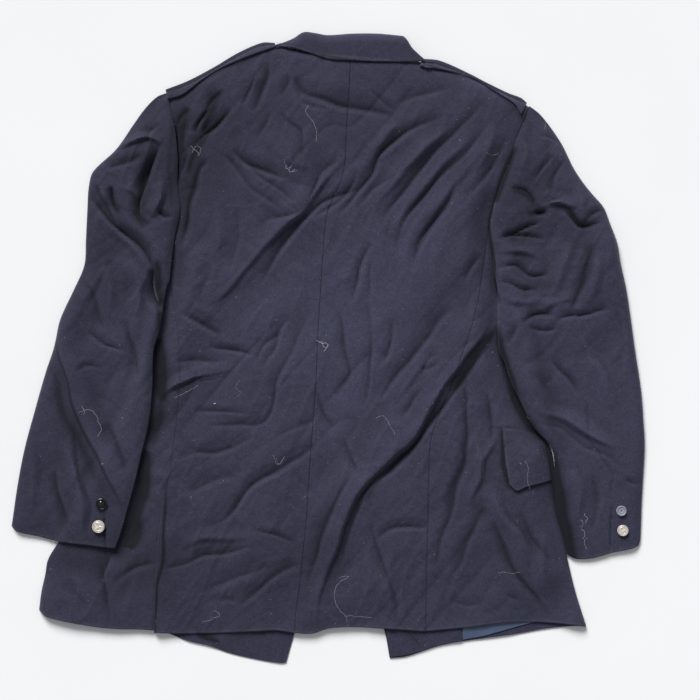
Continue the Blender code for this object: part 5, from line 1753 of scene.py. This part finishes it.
def button_profile(kind, radius, height):
    """The profile from the middle of the face to the middle of the back, as (r, z)."""
    s = np.linspace(0.0, 1.0, 34)
    if kind == "domed":
        dome = np.sqrt(np.clip(1.0 - (s / 0.66) ** 2, 0.0, 1.0))
        face = height * (0.5 + 0.5 * dome + 0.2 * bell(s - 0.84, 0.1))
    elif kind == "ringed":
        face = height * (0.7 + 0.1 * (1 - s**2))
        face = face + 0.08 * height * (bell(s - 0.68, 0.06) + 2.2 * bell(s - 0.92, 0.06))
    else:
        face = height * (0.62 + 0.3 * bell(s - 0.86, 0.12) - 0.34 * bell(s, 0.13))
    rim = [(radius, height * 0.42), (radius, height * 0.2), (radius * 0.86, 0.0), (radius * 0.4, 0.0)]
    return [(r * radius * 0.985, z) for r, z in zip(s, face)] + rim + [(0.0, 0.0)]


class JACKET_OT_buttons(bpy.types.Operator):
    """Make the four cuff buttons: one domed, one dished, and two with a ring and plain rays"""

    bl_idname = "jacket.buttons"
    bl_label = "Buttons"

    def execute(self, context):
        colours = context.scene.jacket_buttons
        makes = {
            "button_black": (tuple(colours.black), 0.0, 0.08, (0.006, 0.006, 0.008)),
            "button_grey": (tuple(colours.grey), 0.0, 0.42, (0.035, 0.035, 0.045)),
            "button_silver": (tuple(colours.silver), 0.2, 0.3, (0.26, 0.22, 0.18)),
        }
        for form in BUTTONS:
            low, high = (np.array(corner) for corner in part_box(form.node))
            radius, height = (high - low)[0] / 2 / MM, (high - low)[2] / MM
            place = (low + high) / 2 * (1, 1, 0) + low * (0, 0, 1)

            def waves(r, angle):
                """Fine reeding on the rim, a sunburst of low rays inside the ring."""
                s = r / radius
                if form.kind != "ringed":
                    return np.zeros_like(s * angle)
                reed = 0.09 * np.cos(48 * angle) * bell(s - 0.93, 0.06)
                rays = 0.3 * np.cos(11 * angle) * bell(s - 0.36, 0.18)
                return (reed + rays) * (s < 0.99)

            profile = button_profile(form.kind, radius, height)
            points, quads, triangles = turned(profile, BUTTON_SEGMENTS, waves)
            mesh = listed_mesh(form.node, points * MM + place, quads.tolist() + triangles.tolist())
            mesh.set_sharp_from_angle(angle=np.radians(SHARP_ANGLE))
            away = np.hypot(points[:, 0], points[:, 1]) / radius
            turn = np.arctan2(points[:, 1], points[:, 0])
            # Patina in the silver buttons' groove and swirled in their middle; painted shade in the grey
            # button's centre dip, and a darker ring
            hollow = {
                "ringed": 0.9 * bell(away - 0.81, 0.05)
                + (0.45 + 0.3 * np.sin(5 * turn + 9 * away)) * bell(away - 0.4, 0.2),
                "dished": bell(away, 0.13) + 0.3 * bell(away - 0.6, 0.07),
                "domed": 0.0 * away,
            }[form.kind]
            paint_shade(mesh, "hollow", hollow)
            material = shared_material(form.slot, button_material, *makes[form.slot])
            add_piece(f"{form.node}_face", mesh, material, form.slot, (form.node,))
        return {"FINISHED"}


def surface_at(pieces, x, y):
    """The height of the highest named cloth near each place, from its nearest point."""
    best = np.full(len(x), -1.0)
    for name in pieces:
        points = OUTER[name]
        some = points
        for axis, along in enumerate((x, y)):
            low, high = along.min() - SEARCH_REACH, along.max() + SEARCH_REACH
            some = some[(some[:, axis] > low) & (some[:, axis] < high)]
        if not len(some):
            continue
        gap = np.hypot(some[None, :, 0] - x[:, None], some[None, :, 1] - y[:, None])
        nearest = gap.argmin(axis=1)
        close = gap[np.arange(len(x)), nearest] < ON_CLOTH_REACH
        best = np.where(close, np.maximum(best, some[nearest, 2]), best)
    return best


def hoops(along, sides):
    """A circle of unit radius across each direction: n cos(a) + b sin(a)."""
    across = unit(np.cross(along, (0.0, 0.0, 1.0)))
    up = np.cross(across, along)
    angle = np.linspace(0.0, 2 * np.pi, sides, endpoint=False)
    return across[:, None] * np.cos(angle)[None, :, None] + up[:, None] * np.sin(angle)[None, :, None]


def tube_points(path, radius, sides):
    """A tube along a path: p(t) + r (n cos(a) + b sin(a)), tapered at both ends."""
    along = unit(np.gradient(path, axis=0))
    taper = np.full(len(path), radius)
    taper[[0, -1]] *= 0.3
    return path[:, None] + taper[:, None, None] * hoops(along, sides)


def tube_faces(count, sides):
    """Side faces and end caps of a tube with that many rings."""
    index = np.arange(count * sides).reshape(count, sides)
    following = np.roll(index, -1, axis=1)
    side = np.stack([index[:-1], following[:-1], following[1:], index[1:]], axis=-1).reshape(-1, 4)
    return side, [index[0, ::-1], index[-1]]


def fibres_mesh(name, paths, sides=FIBRE_SIDES):
    """One mesh of many tubes; each path is (points, radius) in millimetres."""
    points, faces, start = [], [], 0
    for path, radius in paths:
        ring = tube_points(path, radius, sides)
        side, caps = tube_faces(len(path), sides)
        faces += (side + start).tolist() + [(cap + start).tolist() for cap in caps]
        points.append(ring.reshape(-1, 3))
        start += len(path) * sides
    return listed_mesh(name, np.concatenate(points) * MM, faces)


def laid(points, pieces, radius, count, lift=0.0, curl=0.0):
    """A smooth line through the points, laid on the cloth and curled a little by noise."""
    flat = edge(points)(np.linspace(0.0, 1.0, count))
    x, y = flat[:, 0].copy(), flat[:, 1].copy()
    flat[:, 0] += curl * noise(x, y, CURL_SIZE, CURL_SIZE, 0.0, 71)
    flat[:, 1] += curl * noise(x, y, CURL_SIZE, CURL_SIZE, 40.0, 73)
    z = surface_at(pieces, flat[:, 0], flat[:, 1])
    z = np.where(z > 0.0, z, z.max())
    soft = np.convolve(np.pad(z, 1, mode="edge"), (0.25, 0.5, 0.25), "valid")
    return np.column_stack([flat, np.maximum(z, soft) + radius * THREAD_SEAT + lift])


# Pale threads, fibres and specks: path and thickness, on the cloth that carries them
Thread = namedtuple("Thread", "path radius")
BODY_PIECES = ("back_left", "back_right", "side_left", "side_right")
THREADS = (
    Thread(((-15, 10), (-7, 5), (-2, 6), (0, 3), (-6, -5)), 0.36),
    Thread(((-9, 8), (-3, 1), (2, 3)), 0.3),
    Thread(((-153, -76), (-151, -77), (-150, -75)), 0.7),
    Thread(((-334, -87), (-319, -84), (-307, -99), (-305, -112), (-309, -122)), 0.2),
    Thread(((-330, -78), (-326, -85), (-327, -90)), 0.24),
    Thread(((-207, -68), (-196, -64), (-188, -60), (-175, -51)), 0.17),
    Thread(((-26, 327), (-28, 315), (-17, 300), (-14, 277)), 0.18),
    Thread(((14, -311), (30, -307), (11, -322), (11, -344), (25, -363), (28, -372)), 0.15),
    Thread(((-152, -354), (-145, -360), (-158, -366), (-170, -371)), 0.16),
    Thread(((64, -95), (76, -92), (84, -104), (91, -118)), 0.14),
    Thread(((-74, -145), (-66, -158), (-58, -147), (-64, -157), (-70, -150)), 0.14),
    Thread(((-184, 271), (-176, 264), (-172, 257)), 0.18),
    Thread(((-182, 262), (-176, 270), (-170, 266), (-174, 258)), 0.15),
    Thread(((-60, 252), (-54, 240), (-48, 244), (-52, 236), (-40, 238)), 0.16),
    Thread(((-56, 246), (-50, 236), (-44, 240)), 0.2),
    Thread(((266, -152), (270, -166), (268, -180), (272, -190)), 0.13),
    Thread(((-118, -44), (-124, -54), (-116, -60), (-122, -68)), 0.1),
    Thread(((24, -360), (44, -362), (60, -364)), 0.14),
    Thread(((290, 306), (294, 300), (292, 294)), 0.16),
    Thread(((346, -224), (350, -232), (348, -238)), 0.22),
    Thread(((342, -244), (347, -250), (344, -258)), 0.2),
    Thread(((350, -256), (346, -264), (350, -272)), 0.18),
    Thread(((340, -232), (344, -236), (341, -242)), 0.16),
    Thread(((228, -302), (246, -304), (258, -303)), 0.13),
    Thread(((214, 262), (222, 258), (230, 262)), 0.12),
)
SPECK_SEED = 23
SPECK_COUNT = 230
SPECK_LENGTHS = (1.2, 6.5)
SPECK_RADII = (0.09, 0.17)
SPECK_BEND = 0.9
SPECK_POINTS = 5
SPECK_LEAST_HEIGHT = 2.0


def speck_paths(pieces, count, seed):
    """Short bent fibres, strewn over the cloth: length, angle and bend from a seeded draw."""
    draw = np.random.default_rng(seed)
    cloud = np.concatenate([OUTER[name] for name in pieces])
    spots = cloud[draw.integers(0, len(cloud), count), :2]
    paths = []
    for spot in spots:
        length, turn = draw.uniform(*SPECK_LENGTHS), draw.uniform(0, np.pi)
        bend = draw.uniform(-SPECK_BEND, SPECK_BEND)
        t = np.linspace(-0.5, 0.5, SPECK_POINTS)
        x = spot[0] + length * (t * np.cos(turn) - bend * t * t * np.sin(turn))
        y = spot[1] + length * (t * np.sin(turn) + bend * t * t * np.cos(turn))
        z = surface_at(pieces, x, y)
        if (z < SPECK_LEAST_HEIGHT).any():
            continue
        radius = draw.uniform(*SPECK_RADII)
        paths.append((np.column_stack([x, y, z + radius * SPECK_SEAT]), radius))
    return paths


# Rows of stitching: the path, how far to its left they lie, how long each stitch is and how far apart
StitchRow = namedtuple("StitchRow", "path inset piece length pitch")
STITCH_ROWS = (
    StitchRow(FLAP_LEFT, 3.6, "pocket_flap_right", 2.3, 3.3),
    StitchRow(FLAP_BOTTOM, 3.6, "pocket_flap_right", 2.3, 3.3),
    StitchRow(FLAP_RIGHT, -3.6, "pocket_flap_right", 2.3, 3.3),
    StitchRow(STRAP_LEFT_OUT, -2.6, "shoulder_strap_left", 2.3, 3.3),
    StitchRow(STRAP_LEFT_IN, 2.6, "shoulder_strap_left", 2.3, 3.3),
    StitchRow(STRAP_RIGHT_OUT, -2.6, "shoulder_strap_right", 2.3, 3.3),
    StitchRow(STRAP_RIGHT_IN, 2.6, "shoulder_strap_right", 2.3, 3.3),
    StitchRow(COLLAR_FALL_EDGE, 4.0, "collar_fall", 2.4, 3.4),
    StitchRow(COLLAR_END, -4.0, "collar_fall", 2.4, 3.4),
    StitchRow(((-37, 68), (-24, 66), (-10, 65)), 0.0, "back_left", 2.6, 3.3),
    StitchRow(((-216, -199.5), (-209, -199.5), (-203, -200)), 0.0, "back_left", 1.5, 1.1),
    StitchRow(((-216, -200.8), (-209, -200.8), (-203, -201.3)), 0.0, "back_left", 1.5, 1.1),
    StitchRow(((-295, -222), (-294, -246), (-293, -263)), 0.0, "sleeve_left_top", 2.3, 3.3),
    StitchRow(((385, -208), (387, -240), (388, -268)), 0.0, "sleeve_right_top", 2.3, 3.3),
)
STITCH_RADIUS = 0.26
STITCH_SINK = 0.08
STITCH_CLIMB = 1.0
STITCH_LEAST_HEIGHT = 1.0
STITCH_RINGS = np.array([(-0.5, 0.25), (-0.36, 0.9), (0.0, 1.0), (0.36, 0.9), (0.5, 0.25)])


def stitch_points(row, sides):
    """Capsules along a row: centre + t a + r (n cos(b) + u sin(b)), each on the cloth under it."""
    curve = edge(row.path, row.inset)
    count = max(int(path_length(row.path) / row.pitch), 2)
    shares_along = (np.arange(count) + 0.5) / count
    here = curve(shares_along)
    reach = 0.5 * row.length / path_length(row.path)
    ahead = curve(np.clip(shares_along + reach, 0.0, 1.0))
    behind = curve(np.clip(shares_along - reach, 0.0, 1.0))
    rise = np.array([surface_at((row.piece,), at[:, 0], at[:, 1]) for at in (behind, here, ahead)])
    on_cloth = rise.min(axis=0) > STITCH_LEAST_HEIGHT
    centre = np.column_stack([here, rise[1] + STITCH_RADIUS - STITCH_SINK])[on_cloth]
    climb = np.clip(rise[2] - rise[0], -STITCH_CLIMB, STITCH_CLIMB)
    along = unit(np.column_stack([ahead - behind, climb])[on_cloth])
    places, widths = (STITCH_RINGS * (row.length, STITCH_RADIUS)).T[:, None, :, None, None]
    return centre[:, None, None] + along[:, None, None] * places + hoops(along, sides)[:, None] * widths


class JACKET_OT_stitches(bpy.types.Operator):
    """Sew the edge stitching of the flap, straps and collar, the vent's bar tack and the cuffs"""

    bl_idname = "jacket.stitches"
    bl_label = "Stitching"

    def execute(self, context):
        sides = FIBRE_SIDES
        points = np.concatenate([stitch_points(row, sides).reshape(-1, 3) for row in STITCH_ROWS])
        per_stitch = len(STITCH_RINGS) * sides
        side, caps = tube_faces(len(STITCH_RINGS), sides)
        first = np.arange(len(points) // per_stitch) * per_stitch
        faces = (side[None] + first[:, None, None]).reshape(-1, 4).tolist()
        faces += [(cap + start).tolist() for start in first for cap in caps]
        thread = shared_material("thread_navy", thread_material, NAVY_THREAD)
        add_piece("stitching", listed_mesh("stitching", points * MM, faces), thread, "navy_twill")
        loop = laid(
            STRAP_LOOP, ("back_right", "shoulder_strap_right"), STRAP_LOOP_RADIUS, LOOP_POINTS, LOOP_LIFT)
        mesh = fibres_mesh("strap_loop_right", [(loop, STRAP_LOOP_RADIUS)], LOOP_SIDES)
        add_piece("strap_loop_right", mesh, thread, "navy_twill")
        return {"FINISHED"}


class JACKET_OT_lint(bpy.types.Operator):
    """Lay the pale threads and lint on the cloth"""

    bl_idname = "jacket.lint"
    bl_label = "Threads and lint"

    def execute(self, context):
        cloth = context.scene.jacket_cloth
        pieces = BODY_PIECES + ("sleeve_left_top", "sleeve_right_top", "pocket_flap_right")
        material = shared_material("lint_pale", thread_material, tuple(cloth.lint))
        paths = [
            (laid(row.path, pieces, row.radius, THREAD_POINTS, 0.0, THREAD_CURL), row.radius)
            for row in THREADS
        ]
        add_piece("threads_pale", fibres_mesh("threads_pale", paths), material, "thread_pale")
        soft = shared_material("lint_soft", thread_material, SOFT_LINT)
        specks = speck_paths(pieces, SPECK_COUNT, SPECK_SEED)
        add_piece("lint_specks", fibres_mesh("lint_specks", specks, SPECK_SIDES), soft, "thread_pale")
        return {"FINISHED"}


class JACKET_OT_stage(bpy.types.Operator):
    """Set the table, the soft light and the camera overhead"""

    bl_idname = "jacket.stage"
    bl_label = "Table, light and camera"

    def execute(self, context):
        stage = context.scene.jacket_stage
        middle = (PICTURE_MIDDLE[0] * MM, PICTURE_MIDDLE[1] * MM)
        half = TABLE_HALF
        corners = np.array([(-half, -half), (half, -half), (half, half), (-half, half)])
        points = np.column_stack([corners + middle, np.full(4, TABLE_Z)])
        floor = bpy.data.objects.new("floor", mesh_from("floor", points, np.array([[0, 1, 2, 3]])))
        floor.data.materials.append(shared_material("floor", floor_material, tuple(stage.floor)))
        context.scene.collection.objects.link(floor)
        floor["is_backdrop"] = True
        world = bpy.data.worlds.new("soft_room")
        world.use_nodes = True
        sky = world.node_tree.nodes["Background"]
        sky.inputs["Color"].default_value = opaque(SKY_COLOUR)
        sky.inputs["Strength"].default_value = stage.fill
        context.scene.world = world
        light = bpy.data.lights.new("key", "SUN")
        light.energy, light.angle = stage.key, stage.key_softness
        level = np.cos(stage.key_height)
        aim = Vector((level * np.sin(KEY_TURN), -level * np.cos(KEY_TURN), -np.sin(stage.key_height)))
        lamp = bpy.data.objects.new("key", light)
        lamp.location = -LAMP_AWAY * aim
        lamp.rotation_euler = aim.to_track_quat("-Z", "Y").to_euler()
        context.scene.collection.objects.link(lamp)
        camera = bpy.data.cameras.new("camera")
        camera.sensor_width = SENSOR_WIDTH
        camera.lens = camera.sensor_width * stage.camera_height / stage.view_width
        camera.clip_end = VIEW_REACH
        eye = bpy.data.objects.new("camera", camera)
        eye.location = (*middle, stage.camera_height)
        context.scene.collection.objects.link(eye)
        context.scene.camera = eye
        context.scene.view_settings.view_transform = "Standard"
        return {"FINISHED"}


STEPS = (
    "fronts", "inside", "sides", "backs", "sleeves", "collar", "straps", "flap", "buttons", "stitches",
    "lint", "stage",
)


class JACKET_PT_panel(bpy.types.Panel):
    """The jacket's pieces, with the sizes and colours they are made from"""

    bl_idname = "JACKET_PT_panel"
    bl_label = "Service Dress Jacket"
    bl_space_type = "VIEW_3D"
    bl_region_type = "UI"
    bl_category = "Jacket"

    def draw(self, context):
        for group in ("jacket_cloth", "jacket_buttons", "jacket_stage"):
            values = getattr(context.scene, group)
            box = self.layout.box()
            for name in values.bl_rna.properties.keys():
                if name not in ("rna_type", "name"):
                    box.prop(values, name)
        for step in STEPS:
            self.layout.operator(f"jacket.{step}")


GROUPS = (
    ("jacket_cloth", JacketCloth), ("jacket_buttons", JacketButtons), ("jacket_stage", JacketStage),
)
CLASSES = (
    JacketCloth, JacketButtons, JacketStage, JACKET_OT_fronts, JACKET_OT_inside, JACKET_OT_sides,
    JACKET_OT_backs, JACKET_OT_sleeves, JACKET_OT_collar, JACKET_OT_straps, JACKET_OT_flap,
    JACKET_OT_buttons, JACKET_OT_stitches, JACKET_OT_lint, JACKET_OT_stage, JACKET_PT_panel,
)


def register():
    for kind in CLASSES:
        bpy.utils.register_class(kind)
    for name, kind in GROUPS:
        setattr(bpy.types.Scene, name, PointerProperty(type=kind))


def unregister():
    for name, _ in GROUPS:
        delattr(bpy.types.Scene, name)
    for kind in reversed(CLASSES):
        bpy.utils.unregister_class(kind)


def main():
    register()
    for step in STEPS:
        getattr(bpy.ops.jacket, step)()
    sizes = {
        name: [list(corner) for corner in box]
        for name, box in (("cad", CAD_BOX), ("visual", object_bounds()))
    }


if __name__ == "__main__":
    main()
